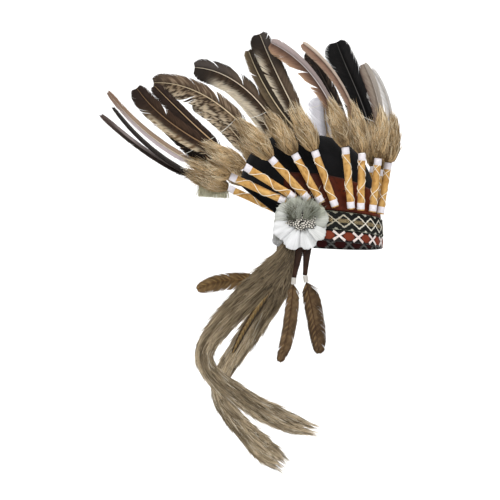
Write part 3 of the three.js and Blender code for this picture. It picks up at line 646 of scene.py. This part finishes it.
def stick(heap, base, way, length, angle, seed):
    """Wrapped stick with white tape at both ends and two laces that wind round it."""
    own = np.random.default_rng(seed)
    angle = math.radians(angle)
    inward = np.array([-math.cos(angle), math.sin(angle), 0])
    side = unit(inward - way * inward.dot(way))
    face = np.cross(side, way)
    rings, sides = 36, 24
    s = np.linspace(0.3, length - 0.3, rings)
    core = STICK_R * (0.97 + 0.05 * noise(s / 14, 0, seed))
    part = np.repeat(s / length, sides)
    turn = np.tile(np.arange(sides), rings)
    shade = noise(part * 9, turn / 3.0, seed + 1)
    gold = mix((74, 54, 28), (90, 73, 45), shade)
    worn = 0.7 * smooth(noise(part * 24, turn / 2.0, seed + 3), 0.6, 0.9)
    gold = mix(gold, (60, 41, 20), worn)
    gold = gold * (0.86 + 0.14 * noise(turn / 4.0, part * 3, seed + 5))[:, None]
    heap.add(*tubes((base + way * s[:, None])[None], core, sides, 1, side), gold)
    white_tape(heap, base, way, side, 1.8, TAPE + 1)
    white_tape(heap, base, way, side, length - TAPE, length)
    turns = own.uniform(1.45, 1.75)
    for wind in (1, -1):
        u = np.linspace(0, 1, 38)
        at = TAPE - 1 + (length - 2 * TAPE + 2) * u
        turn = wind * turns * 2 * np.pi * u + own.uniform(-0.25, 0.25) + math.pi / 2
        ring = side * np.cos(turn)[:, None] + face * np.sin(turn)[:, None]
        path = base + way * at[:, None] + ring * (STICK_R + 0.4)
        heap.add(*tubes(path[None], LACE_R, 5), (97, 93, 85))


def stick_foot(row):
    out = BAND_GAP + PANEL_THICK + SEAT + STICK_R + 0.35
    return crown(row["angle"], BROW_TOP + row["foot"] * STICK_LONG, out)


BRIDLE_AT = 0.36  # share of a feather's length
BRIDLE_R, BRIDLE_SAG = 0.36, 0.08  # the sag is a share of the span
KNOTS = {"right": [], "left": []}
for hand, table, twins in (("right", RIGHT, RIGHT_TWINS), ("left", LEFT, LEFT_TWINS)):
    mirrored = hand == "left"
    for i, values in enumerate(table):
        row = dict(zip(COLUMNS, values))
        row["notches"] = NOTCHES.get((hand, i + 1), ())
        seed = 100 * (i + 1) + (50 if mirrored else 0)
        foot, way = stick_foot(row), heading(row["lean"], row["flare"])
        long = STICK_LONG * row["stick"]
        rod = Heap(mirrored)
        stick(rod, foot, way, long, row["angle"], seed)
        name = f"{hand}_{i + 1}"
        rod.piece("wrapped_stick_" + name, suede, [f"stick_{name}"])
        turn = math.sin(math.radians(abs(row["start"] - row["lean"])))
        base = foot + way * (long + SEAT + TUFT_WIDE / 2 * turn * 0.44)
        heap = Heap(mirrored)
        line = feather(heap, base, row, row["look"], seed + 1)
        KNOTS[hand].append(on_line(line, BRIDLE_AT)[0])
        for j, twin in enumerate(t for t in twins if t[0] == i + 1):
            second = dict(zip(TWIN, twin), flare=row["flare"])
            feather(heap, base, second, second["look"], seed + 3 + j)
        tuft(heap, base, row, seed + 2, 1.25 if i in (0, 8) else 1.0, name == "left_9")
        heap.piece("plume_of_" + name, plumage, [f"plume_{name}"])

# The bridle thread that ties neighbouring plumes together above their tufts.

for hand, knots in KNOTS.items():
    heap = Heap(hand == "left")
    for a, b in zip(knots[:-1], knots[1:]):
        u = np.linspace(0, 1, 9)[:, None]
        sag = np.array([0, 0, 1.0]) * BRIDLE_SAG * np.linalg.norm(b - a) * 4 * u * (1 - u)
        path = a * (1 - u) + b * u - sag
        heap.add(*tubes(path[None], BRIDLE_R, 5), (96, 95, 92))
    heap.piece("bridle_thread_" + hand, suede, [])


# Cap.


def dome(inset, z_share, degrees, fuzz=0.0):
    """Point on the crown between its lower edge and its top."""
    edge = rim_height(degrees)
    z = edge + (CROWN_HIGH - inset - edge) * np.sin(z_share * np.pi / 2)
    bump = fuzz * (noise(degrees / 4, z / 6, 4) - 0.5)
    return crown(degrees, np.minimum(z, CROWN_HIGH - inset - 1e-6), -inset + bump)


cap = Heap()
around = np.linspace(0, 360, 241)[:-1]
rise = np.concatenate([np.linspace(0, 0.07, 14)[:-1], np.linspace(0.07, 0.985, 22)])
deg, up = np.meshgrid(around, rise)
outer, inner = dome(0, up, deg, 0.5), dome(FELT, up, deg)
rows, cols = deg.shape
tone = noise(deg / 9, up * 20, 8)
black = mix((5, 5, 5.5), (11, 11, 12), tone)
height = inner[..., 2] - RIM - STRIP_HIGH / 2
turned = ((deg + 180) % 360 - 180) / CROSS_STEP
cross = (turned - np.round(turned)) * CROSS_STEP / CROSS_HALF
oval = (turned - np.floor(turned) - 0.5) * CROSS_STEP / OVAL_HALF
# The inner wall carries the backs of the strip's ovals and crosses. Painted shade: the crosses are
# dim grey there, and the felt above them is 0.8 of the outer black.
lining_in_painted_shade = mix((11, 10, 10), (25, 10, 10), np.hypot(oval, height / OVAL_HIGH) < 1)
slant = (np.abs(np.abs(cross) - np.abs(height) / 6.5) < 0.24) & (np.abs(cross) < 1.15)
lining_in_painted_shade = mix(lining_in_painted_shade, (46, 46, 45), slant)
inside = mix(lining_in_painted_shade, black * 0.8, smooth(height, 7.5, 8.5))
index, nxt, wall = ring_grid(rows, cols)
top_out, top_in = 2 * rows * cols, 2 * rows * cols + 1
last = index[-1]
tops = np.stack([last, np.full(cols, top_out), nxt[-1]], -1)
low_rim = np.stack([index[0], nxt[0], nxt[0] + rows * cols, index[0] + rows * cols], -1)
in_tops = np.stack([last, nxt[-1], np.full(cols, top_in - rows * cols)], -1) + rows * cols
tips = crown(0, np.array([CROWN_HIGH, CROWN_HIGH - FELT]), np.array([0, -FELT]))
cap.add(
    np.concatenate([outer.reshape(-1, 3), inner.reshape(-1, 3), tips]),
    [wall, wall[:, ::-1] + rows * cols, tops, low_rim, in_tops],
    np.concatenate([black.reshape(-1, 3), inside.reshape(-1, 3), black[:1, 0], black[:1, 0]]),
)
count = int(1400 * share)  # loose fibres
deg = rng.uniform(0, 360, count)
up = rng.uniform(0, 0.97, count) ** 0.8
root = dome(0.4, up, deg)
ahead = unit(dome(0.4, up, deg + 1) - root)
above = unit(dome(0.4, up + 0.01, deg) - root)
normal = unit(root - dome(4, up, deg))
lean = ahead * rng.normal(0, 0.7, (count, 1)) + above * rng.normal(0.1, 0.7, (count, 1))
lean = unit(lean + normal * 0.8)[:, None]
q = np.linspace(0, 1, 3)[None, :, None]
path = root[:, None] + lean * rng.uniform(1.2, 3.4, (count, 1, 1)) * q
cap.strands(path, [0.16, 0.12, 0.04], (7, 7, 8), (16, 16, 17))
cap.piece("felt_cap", felt, ["crown_cap"])

# Bands.


def band_piece(end, low, high, thick, cols, rows, paint, relief):
    """Fine band. high takes the ring angle; paint and relief take it and the height share."""
    deg, v = np.meshgrid(np.linspace(-end, end, cols), np.linspace(0, 1, rows))
    z = low * (1 - v) + high(deg) * v
    shoulder = 0.35 * thick * (1 - smooth(np.minimum(v, 1 - v), 0, 0.07))
    front = crown(deg, z, BAND_GAP + thick - shoulder + relief(deg, v))
    back = crown(deg, z, BAND_GAP)
    return grid_shell(front, back, paint(deg, v), (16, 10, 7))


ZIGZAG_STEP, STITCH, WEAVE_ROWS = 14.1, 0.36, 30  # the first two in degrees round the crown


def wave(x):
    """Triangle wave from 0 to 1 and back with a period of 2."""
    return 1 - np.abs((x % 2) - 1)


def brow_paint(deg, v):
    """Two white zigzags that cross, a beige row between them and teeth at both edges."""
    d = np.round(deg / STITCH) * STITCH
    h = np.round(v * WEAVE_ROWS) / WEAVE_ROWS
    x = (d - 2.7) / ZIGZAG_STEP + 0.5
    # Whites turn greyer from 40 to 75 degrees round from the front.
    towards_sides = smooth(np.abs(deg), 40, 75)
    white = mix((94, 92, 86), (70, 67, 59), towards_sides)
    beige = mix((68, 60, 44), (52, 46, 35), noise(d * 2, h * WEAVE_ROWS, 22))
    c = mix((6, 6, 6), (12, 12, 11), noise(d * 2.3, h * 20, 21))
    middle = np.abs((x % 1) - np.round(x % 1))
    row = (np.abs(h - 0.5) < 0.11) & (middle < 0.34)
    weft = ((d / (2 * STITCH) + np.abs(h - 0.5) * 22) % 2) < 1.1
    c = mix(c, beige, row & weft)
    away = np.abs((x - 0.5) - np.round(x - 0.5))
    tooth = 0.15 * (1 - away / 0.22)
    c = mix(c, mix(white, (60, 63, 58), 0.4), (1 - h < tooth) | (h < 0.75 * tooth))
    for flip in (0, 1):
        line = 0.15 + 0.68 * wave(x + flip)
        c = mix(c, white, np.abs(h - line) < 0.04)
    speck = noise(d * 2.9, h * WEAVE_ROWS, 24) > 0.6
    c = mix(c, (50, 52, 46), speck & ((h < 0.06) | (h > 0.94)))
    return c * (0.86 + 0.28 * noise(deg * 6, v * 50, 23))[..., None]


brow = Heap()
brow.add(*band_piece(
    BAND_END,
    BROW_LOW,
    lambda d: BROW_TOP,
    BROW_THICK,
    430 // (1),
    38 // (1),
    brow_paint,
    lambda d, v: 0.14 * np.sin(d / (2 * STITCH) * np.pi) * np.sin(v * 15 * np.pi) - 0.14,
))
brow.piece("woven_brow_band", weave, ["brow_band"])


def leather_paint(low, high, seed):
    """Worn leather between two colours, darker by its edges."""
    low, high = linear(low), linear(high)

    def paint(deg, v):
        c = mix(low, high, noise(deg / 5, v * 5, seed))
        c = mix(c, low * 0.6, 0.7 * smooth(noise(deg / 1.3, v * 22, seed + 1), 0.62, 0.9))
        return mix(c * 0.55, c, smooth(np.minimum(v, 1 - v), 0.0, 0.05))

    return paint


panel = Heap()
panel_paint = leather_paint((31, 11, 4), (48, 20, 9), 32)
panel.add(*band_piece(
    PANEL_END,
    PANEL_LOW,
    lambda d: panel_top(d) + 0.9 * (noise(d / 6, 0, 31) - 0.5),
    PANEL_THICK,
    160,
    18,
    # Painted shade: the panel darkens to half from 52 to 72 degrees round from the front.
    lambda d, v: panel_paint(d, v) * (1 - 0.5 * smooth(np.abs(d), 52, 72))[..., None],
    lambda d, v: 0.5 * (noise(d / 4, v * 6, 33) - 0.6),
))
STUD_UP, STUD_R = 0.62, 0.7  # the first is a share of the panel's height
for sign in (-1, 1):
    for deg_at in (20, 30, 54.5, 63.5):
        z = PANEL_LOW + STUD_UP * (panel_top(deg_at) - PANEL_LOW)
        spot = crown(sign * deg_at + np.array([-0.9, 0.9]), z, BAND_GAP + PANEL_THICK - 0.2)
        panel.add(*tubes(spot[None], STUD_R, 10), (14, 6, 4))
panel.piece("lined_panel", leather, ["leather_panel"])

strip = Heap()
strip.add(*band_piece(
    BAND_END,
    RIM,
    lambda d: RIM + STRIP_HIGH,
    STRIP_THICK,
    230,
    12,
    leather_paint((8, 6, 6), (14, 10, 10), 41),
    lambda d, v: -0.15,
))
crosses = np.arange(-5, 6) * CROSS_STEP
for at in crosses:
    for sign in (-1, 1):
        u = np.linspace(-1, 1, 13)
        deg = at + sign * u * CROSS_HALF
        z = RIM + STRIP_HIGH / 2 + u * (STRIP_HIGH / 2 - 1.5)
        lift = BAND_GAP + STRIP_THICK + 0.35 + 0.3 * (sign > 0) * np.cos(u * np.pi / 2)
        path = crown(deg, z, lift)
        wide = unit(crown(deg, z + 1, lift) - path)
        radius = CROSS_R * (0.9 + 0.14 * noise(u * 5, at, 43)) * (0.85 + 0.25 * np.abs(u))
        tone = noise(np.repeat(u * 9, 10), np.tile(np.arange(10) * 2.0, 13), int(44 + at % 7))
        tint = mix((82, 74, 71), (96, 93, 92), tone)
        strip.add(*tubes(path[None], radius, 10, 0.34, wide), tint)
    for half in (-0.5, 0.5):
        if half < 0 and at > crosses[0]:
            continue
        middle = at + half * CROSS_STEP
        u, w = np.meshgrid(np.linspace(-1, 1, 13), np.linspace(-1, 1, 11))
        round_u, round_w = u * np.sqrt(1 - w**2 / 2), w * np.sqrt(1 - u**2 / 2)
        deg = middle + round_u * OVAL_HALF
        z = RIM + STRIP_HIGH / 2 + round_w * OVAL_HIGH
        bulge = 1.3 * np.clip(1 - round_u**2 - round_w**2, 0, 1) ** 0.5
        front = crown(deg, z, BAND_GAP + STRIP_THICK - 0.2 + bulge)
        back = crown(deg, z, BAND_GAP + STRIP_THICK - 0.6)
        # Painted shading: each oval is lighter on top of its bulge and darker towards its rim.
        tone = mix((22, 7, 4), (46, 19, 11), smooth(bulge, 0.2, 0.95))
        strip.add(*grid_shell(front, back, tone, tone))
strip.piece("laced_edge", leather, ["laced_strip"])

# Rosettes.


PETAL_START, DOTTED_START = 5, 0.4  # from the rosette's middle


def petal(heap, turn, half, reach, out, low, high, seed):
    """One broad feather of a rosette: a fan of half degrees each way, pleated along its ribs."""
    u, w = np.meshgrid(np.linspace(0, 1, 13), np.linspace(-1, 1, 33))
    angle = turn + w * math.radians(half) * (0.55 + 0.45 * smooth(u, 0, 0.5))
    round_edge = 1 - 0.2 * np.abs(w) ** 2.4 + 0.04 * w - 0.05 * noise(w * 9 + 20, 0, seed)
    r = PETAL_START + (reach * round_edge - PETAL_START) * u
    pleat = noise(w * 3.2 + 9, u * 0.8, seed + 2) - 0.5
    up = out + 3.4 * w * u + 4.2 * pleat * smooth(u, 0.15, 0.8) + 1.6 * (1 - w**2) * u
    up = up - 1.6 * smooth(u, 0.72, 1) + 0.25 * (noise(w * 24, u * 2, seed + 3) - 0.5)
    front = ROSE + np.stack([r * np.sin(angle), -up, r * np.cos(angle)], -1)
    back = front.copy()
    back[..., 1] += 0.35
    rib = noise(w * 34 + 3, u * 1.5, seed + 1)
    # Painted shade: the pleat term darkens the fold valleys and lightens the ridges, and the side
    # edges, where the next petal overlaps, are darkened towards 0.7.
    tint = mix(low, high, 0.55 * smooth(u, 0.05, 0.5) + 0.42 * rib + 0.7 * pleat)
    tint = mix(tint, tint * 0.7, smooth(np.abs(w), 0.84, 1.0) * 0.7)
    heap.add(*grid_shell(front, back, tint, high * 0.9))


def guinea(heap, turn, reach, wide, out, seed):
    """Small black feather with white dots."""
    u, w = np.meshgrid(np.linspace(0, 1, 18), np.linspace(-1, 1, 9))
    along = np.array([math.sin(turn), 0, math.cos(turn)])
    cross = np.array([math.cos(turn), 0, -math.sin(turn)])
    shape = np.interp(u, [0, 0.3, 0.65, 0.9, 1], [0.35, 0.8, 1, 0.6, 0.15])
    r = DOTTED_START + (reach - DOTTED_START) * u * (1 - 0.08 * w**2)
    side = w * shape * wide / 2
    front = ROSE + r[..., None] * along + side[..., None] * cross
    front[..., 1] -= out + 0.9 * (1 - w**2) - 1.6 * u
    back = front.copy()
    back[..., 1] += 0.3
    x, y = (r - DOTTED_START) / 3.4 + seed * 0.37, side / 2.9
    y = y + 0.5 * (np.floor(x) % 2)
    dot = np.hypot((x % 1) - 0.5, (y % 1) - 0.5) < 0.34
    tint = mix((5, 5, 5), (12, 11, 10), noise(u * 9, w * 4, seed))
    tint = mix(tint, (95, 93, 88), dot & (u > 0.1))
    heap.add(*grid_shell(front, back, tint, (10, 10, 10)))


def down(heap, root, way, reach, count, low, high, own):
    """Loose strands that fan from a spot."""
    count = max(4, int(count * share))
    aim = unit(way + 0.16 * own.standard_normal((count, 3)))
    start = root + own.uniform(-1, 1, (count, 3)) * np.array([3.0, 0.8, 3.0])
    q = np.linspace(0, 1, 4)
    long = own.uniform(0.55, 1, (count, 1, 1)) * reach
    bend = 0.3 * own.standard_normal((count, 1, 3)) * q[:, None] ** 2 * np.array([1, 0.3, 1])
    path = start[:, None] + long * (aim[:, None] * q[:, None] + bend)
    tone = own.random(count)
    root, end = mix(low, high, tone * 0.5), mix(low, high, 0.4 + 0.6 * tone)
    heap.strands(path, 0.4 * np.linspace(1, 0.3, len(q)), root, end)


# Petals: turn from straight up, half width in degrees, reach, height and how grey, from the
# back forwards.
PETALS = [
    (0, 38, 0.94, 0.8, 1), (45, 36, 0.95, 0.9, 1), (95, 36, 0.9, 0.8, 0.5),
    (135, 34, 0.88, 0.9, 0.4), (183, 34, 0.88, 0.8, 0.3), (225, 34, 0.9, 0.9, 0.2),
    (265, 36, 0.94, 0.8, 0.5), (315, 36, 0.95, 0.9, 1), (330, 30, 0.9, 2.6, 0.95),
    (28, 30, 0.88, 2.6, 0.95), (72, 30, 0.98, 2.8, 0.7), (290, 31, 0.98, 2.8, 0.6),
    (113, 24, 0.98, 4.4, 0.28), (153, 25, 1.0, 3.4, 0.08), (240, 28, 1.03, 4.2, 0.02),
    (197, 24, 1.03, 5.2, 0),
]
# Dotted feathers: reach, number, width, height, first and last turn.
DOTTED = [
    (20, 5, 6.5, 7.2, 62, 112), (20, 5, 6.5, 7.2, 248, 298), (13, 14, 5.6, 8.4, 0, 334),
    (24, 5, 8, 7.8, 298, 338), (24, 5, 8, 7.8, 22, 62),
]
# Down: root from the rosette's middle, way, reach, number of strands and two colours.
DOWN = [
    ((-11, -8.6, 9), (-0.5, -0.1, 0.7), 12, 80, (16, 15, 11), (50, 48, 38)),
    ((9, -8.6, 10), (0.45, -0.1, 0.7), 12, 80, (16, 15, 11), (50, 48, 38)),
    ((-9, -9, 6), (-0.5, -0.05, 1), 27, 60, (50, 51, 43), (80, 81, 76)),
    ((-3, -9.5, 6), (-0.15, -0.05, 1), 31, 70, (56, 57, 50), (88, 89, 85)),
    ((4, -9.5, 6), (0.25, -0.05, 1), 28, 60, (50, 51, 43), (82, 83, 78)),
    ((10, -9, 5), (0.65, -0.05, 0.8), 24, 44, (45, 46, 38), (74, 76, 70)),
    ((-10, -8.8, 3), (-1, -0.05, 0.5), 14, 50, (20, 20, 17), (50, 50, 43)),
]
AHEAD, OUTWARD = np.array([1.0, 0, 0]), np.array([0, -1.0, 0])

for hand in ("right", "left"):
    left = hand == "left"
    heap = Heap(left)
    own = np.random.default_rng(71 if left else 61)
    back = ROSE + OUTWARD * np.array([0.02, 0.4, 1.2, 1.6])[:, None]
    heap.add(*tubes(back[None], [21.0, 23, 23, 20], 48, 1, AHEAD), (60, 60, 58))
    for at, half, reach, out, shade in PETALS:
        low = mix((80, 81, 80), (42, 42, 35), shade)
        high = mix((97.5, 97.5, 98), (76, 77, 71), shade)
        turn = math.radians(at) + own.normal(0, 0.02)
        reach *= 0.93 if left else 1
        petal(heap, turn, half, ROSE_R * reach, out, low, high, 700 + at)
    for reach, number, wide, out, first, last in DOTTED:
        for i in range(number):
            turn = math.radians(first + (last - first) * i / (number - 1)) + own.normal(0, 0.05)
            outer = reach * own.uniform(0.85, 1.1)
            guinea(heap, turn, outer, wide, out, i + reach)
    s = np.linspace(0, 1, 6)
    knob = ROSE + OUTWARD * (5 + 3 * s)[:, None]
    heap.add(*tubes(knob[None], 1.4 * np.sqrt(1 - 0.9 * s**2), 16, 1, AHEAD), (12, 12, 11))
    for at, way, reach, number, low, high in DOWN:
        root = ROSE + np.array(at, float)
        down(heap, root, np.array(way, float), reach, number, low, high, own)
    heap.piece("rosette_of_" + hand, petal_skin, [f"rosette_{hand}"])

# Tails. Each has its top, as a share of the rosette's radius behind its middle, and rows of the
# place along it, the swing to the back in degrees, the width and the depth.

TAILS = {
    "right": (0.28, [
        (0, 12, 0.46, 0.5), (0.06, 27, 0.74, 0.6), (0.12, 38, 0.98, 0.86),
        (0.24, 41, 1.08, 1), (0.35, 38, 0.98, 1), (0.44, 33, 0.86, 0.95),
        (0.49, 20, 0.76, 0.85), (0.53, -14, 0.72, 0.85),
        (0.585, -45, 0.72, 0.85), (0.65, -58, 0.76, 0.85), (0.74, -61, 0.82, 0.85),
        (0.85, -69, 0.88, 0.85), (0.95, -77, 0.7, 0.7),
    ]),
    "left": (0.12, [
        (0, 6, 0.46, 0.5), (0.06, 11, 0.74, 0.6), (0.14, 21, 0.94, 0.86), (0.24, 32, 1, 1),
        (0.35, 29, 0.96, 1), (0.47, 31, 0.84, 0.95), (0.56, 24, 0.74, 0.85), (0.61, -8, 0.7, 0.85),
        (0.69, -40, 0.74, 0.85), (0.78, -47, 0.84, 0.85), (0.88, -50, 1.02, 0.8),
        (0.95, -56, 0.96, 0.7),
    ]),
}
TAIL_STEPS, CORE_RINGS, CORE_SIDES = 240, 70, 20
for hand, (top, table) in TAILS.items():
    heap = Heap(hand == "left")
    own = np.random.default_rng(91 if hand == "left" else 81)
    at, swings, wides, deeps = np.array(table, float).T
    s = np.linspace(0, 1.0, TAIL_STEPS + 1)
    swing = np.radians(np.interp(s, at, swings))
    way = np.stack([-np.sin(swing), 0 * s, -np.cos(swing)], -1)
    steps = (way[1:] + way[:-1]) / 2 * TAIL_LONG / TAIL_STEPS
    centre = np.concatenate([[[0, 0, 0]], np.cumsum(steps, 0)])
    deep = TAIL_DEEP / 2 * np.interp(s, at, deeps)
    centre += np.array([ROSE[0] - top * ROSE_R, ROSE[1] + SEAT, TAIL_START])
    centre[:, 1] += deep - TAIL_OUT * smooth(s, 0.06, 0.18)
    side = np.stack([np.cos(swing), 0 * s, -np.sin(swing)], -1)
    face = np.tile(OUTWARD, (TAIL_STEPS + 1, 1))
    line = [centre, way, side, face]
    wide = TAIL_WIDE / 2 * np.interp(s, at, wides) * (1 - 0.35 * smooth(s, 0.93, 1.0))
    deep = deep * (1 - 0.5 * smooth(s, 0.9, 1.0))

    def tail_at(where):
        sizes = np.interp(where, s, wide), np.interp(where, s, deep)
        return on_line(line, where, TAIL_LONG), *sizes

    core_at = np.linspace(0.004, 0.955, CORE_RINGS)
    (middle, _, side, face), half, thick = tail_at(core_at)
    turn = 2 * np.pi * np.arange(CORE_SIDES) / CORE_SIDES
    lump = 0.86 + 0.08 * noise(core_at[:, None] * 40, turn * 2, 95)
    ring = side[:, None] * (half[:, None] * np.cos(turn) * lump)[..., None]
    ring = ring + face[:, None] * (thick[:, None] * np.sin(turn) * lump)[..., None]
    index, _, quads = ring_grid(CORE_RINGS, CORE_SIDES)
    core = [quads, index[:1], index[-1:, ::-1]]
    heap.add(middle[:, None] + ring * 0.9, core, (42, 36, 27))
    count = int(4400 * share)  # strands
    start = own.uniform(0, 0.945, count)
    turn = own.uniform(0, 2 * np.pi, count)
    reach = own.uniform(0.04, 0.085, count) * (1 - 0.2 * smooth(start, 0.9, 1.0))
    q = np.linspace(0, 1, 4)
    where = start[:, None] + reach[:, None] * q
    clump = noise(where * 26 + turn[:, None] * 1.3, turn[:, None] * 2.2, 97)
    swell = 0.88 + 0.1 * clump + 0.05 * own.random((count, 1))
    fly = np.where(own.random(count) < 0.14, own.uniform(0.08, 0.34, count), 0.02)
    swell = swell + fly[:, None] * q**2
    sweep = turn[:, None] + 0.16 * own.standard_normal((count, 1)) * q + 0.12 * q
    (middle, _, side, face), half, thick = tail_at(where)
    path = middle + side * (half * swell * np.cos(sweep))[..., None]
    path = path + face * (thick * swell * np.sin(sweep))[..., None]
    tone = own.random(count)
    umber, mid = (24, 20, 15), (60, 53, 42)
    tan, cream = (92, 84, 71), (100, 97, 90)
    lane = noise(start * 8 + 3, turn * 1.6, 98)
    lane = 0.5 * lane + 0.5 * noise(start * 26, turn * 3, 99)
    bright = 0.4 * smooth(start, 0.3, 0.45) + 0.2 * smooth(start, 0.8, 1)
    bright = bright - 0.6 * (1 - smooth(start, 0.12, 0.38))
    # Painted shade: in the upper half, strands on one side of the tail are darkened.
    under = smooth(np.sin(turn) * np.sign(np.cos(turn) + 0.3), 0.2, 0.9) * (start < 0.5)
    bright = bright - 0.35 * under
    root = mix(umber, mid, 0.4 * tone + 1.1 * lane - 0.25 + 0.4 * bright)
    end = mix(mid, tan, 0.3 * tone + 1.2 * smooth(lane, 0.35, 0.7) + bright - 0.35)
    end = mix(end, cream, (own.random(count) < 0.12 + 0.3 * bright) * 0.8 * smooth(lane, 0.2, 0.5))
    end = mix(end, umber, (own.random(count) < 0.16) * 0.8)
    heap.strands(path, [0.68, 0.66, 0.46, 0.12], root, end, 1.1)
    heap.piece("fur_tail_" + hand, fur, [f"tail_{hand}"])

# Thongs and hanging feathers.

DROP = "top back down out start middle tip length width facing".split()
DROPS = {
    "right": [
        (-0.02, 0.1, 1.92, -0.08, 178, 175, 161, 1, 0.92, 70),
        (-0.28, -0.27, 1.82, -0.08, 196, 194, 189, 0.92, 1.1, 100),
    ],
    "left": [
        (0.6, 0.96, 1.94, -0.5, 88, 99, 125, 0.9, 1.15, 80),
        (0.62, 0.64, 1.9, -0.85, 148, 152, 163, 1.06, 0.8, 150),
    ],
}
for hand, table in DROPS.items():
    left = hand == "left"
    for i, values in enumerate(table):
        row = dict(zip(DROP, values), flare=0)
        name = f"{hand}_{i + 1}"
        tie = ROSE + np.array([-row["back"], -row["out"], -row["down"]]) * ROSE_R
        end = heading(row["start"], 0)
        start = ROSE + np.array([-row["top"] * ROSE_R, 1.5 + SEAT, 0])
        start[2] = TAIL_START
        to = tie - end * SEAT
        below = np.array([start[0], (start[1] + to[1]) / 2, start[2] - ROSE_R / 2])
        u = np.linspace(0, 1, 24)[:, None]
        path = start * (1 - u) ** 2 + below * 2 * u * (1 - u) + to * u**2
        upper, lower = start + (below - start) * 2 * u, below + (to - below) * (2 * u - 1)
        path = 0.5 * path + 0.5 * np.where(u < 0.5, upper, lower)
        cross = np.cross(end, [0, 1.0, 0])
        wide_way = unit(AHEAD * (1 - u) + cross * u)
        radius = (3 if left else 7.4) * (1 - 0.62 * u[:, 0] ** 0.8)
        radius = radius * (0.94 + 0.12 * noise(u[:, 0] * 7, i, 51))
        heap = Heap(left)
        tone = noise(np.repeat(u[:, 0] * 12, 8), np.tile(np.arange(8) * 1.7, 24), 52)
        tint = mix((11, 7, 5), (24, 15, 10), tone)
        heap.add(*tubes(path[None], radius, 8, 0.4, wide_way), tint)
        heap.piece("thong_of_" + name, leather, [f"thong_{name}"])
        heap = Heap(left)
        s = np.linspace(0, WRAP_LONG, 60)
        wound = WRAP_R * (0.9 + 0.1 * np.abs(np.sin(s / WRAP_LONG * np.pi * 6)))
        tint = (50, 42, 30) if name == "left_2" else (80, 78, 75)
        heap.add(*tubes((tie + end * s[:, None])[None], wound, 16, 1, unit(cross)), tint)
        base = tie + end * WRAP_LONG * 0.8
        look = {"left_2": "golden", "left_1": "amber"}.get(name, "drop")
        feather(heap, base, row, look, 900 + i + 10 * left, (DROP_LONG, DROP_WIDE), True)
        heap.piece("hanging_feather_" + name, plumage, [f"drop_feather_{name}"])

# Light, floor and camera.

bright = bpy.data.materials.new("backdrop")
bright.use_nodes = True
paper = bright.node_tree.nodes["Principled BSDF"]
fill(paper, Base_Color=(0.93, 0.93, 0.93, 1), Roughness=0.9, Specular_IOR_Level=0.0)

# Floor and back wall in one sheet, rounded where they meet.
deep, floor_z, bow = 3.2, -0.62, 1.2
profile = [(-3.4, floor_z), (deep - bow, floor_z)]
profile += [
    (deep - bow + bow * math.sin(a), floor_z + bow - bow * math.cos(a))
    for a in np.linspace(0.1, math.pi / 2, 14)
]
profile.append((deep, floor_z + 5))
verts = [(x, y, z) for y, z in profile for x in (-5, 5)]
faces = [(2 * i, 2 * i + 1, 2 * i + 3, 2 * i + 2) for i in range(len(profile) - 1)]
mesh = bpy.data.meshes.new("studio")
mesh.from_pydata(verts, [], faces)
mesh.polygons.foreach_set("use_smooth", [True] * len(faces))
mesh.materials.append(bright)
studio = bpy.data.objects.new("studio", mesh)
bpy.context.scene.collection.objects.link(studio)
studio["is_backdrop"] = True


def area_light(name, place, power, size, target=(-0.05, 0, 0)):
    data = bpy.data.lights.new(name, "AREA")
    data.energy, data.size = power, size
    light = bpy.data.objects.new(name, data)
    light.location = place
    aim = Vector(target) - Vector(place)
    light.rotation_euler = aim.to_track_quat("-Z", "Y").to_euler()
    bpy.context.scene.collection.objects.link(light)


area_light("key", (-0.7, -2.1, 2.2), 62, 1.1)
area_light("fill", (2.0, -1.6, 0.6), 10, 2.0)
area_light("back", (0.3, 1.5, 2.3), 60, 2.4, (0, 3, 0.3))

world = bpy.data.worlds.new("room")
world.use_nodes = True
fill(world.node_tree.nodes["Background"], Color=(1, 1, 1, 1), Strength=0.45)
bpy.context.scene.world = world
bpy.context.scene.view_settings.view_transform = "Standard"

# The photo's view: metres a pixel at the part, and where the part's origin lies in the picture.
elevation, roll = math.radians(-4), math.radians(4)
per_pixel, distance, photo, sensor = 0.0014, 2.0, 500, 36
origin_x, origin_y = 312, 244
right0 = Vector((1, 0, 0))
up0 = Vector((0, math.sin(elevation), math.cos(elevation)))
forward = Vector((0, math.cos(elevation), -math.sin(elevation)))
right = right0 * math.cos(roll) + up0 * math.sin(roll)
up = -right0 * math.sin(roll) + up0 * math.cos(roll)
sideways, upwards = (origin_x - photo / 2) * per_pixel, (photo / 2 - origin_y) * per_pixel
place = -(forward * distance + right * sideways + up * upwards)
lens = bpy.data.cameras.new("camera")
lens.sensor_width = sensor
lens.lens = sensor * distance / per_pixel / photo
lens.clip_end = 20
camera = bpy.data.objects.new("camera", lens)
turned = Matrix((right, up, -forward)).transposed().to_4x4()
camera.matrix_world = Matrix.Translation(place) @ turned
bpy.context.scene.collection.objects.link(camera)
bpy.context.scene.camera = camera

low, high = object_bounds()
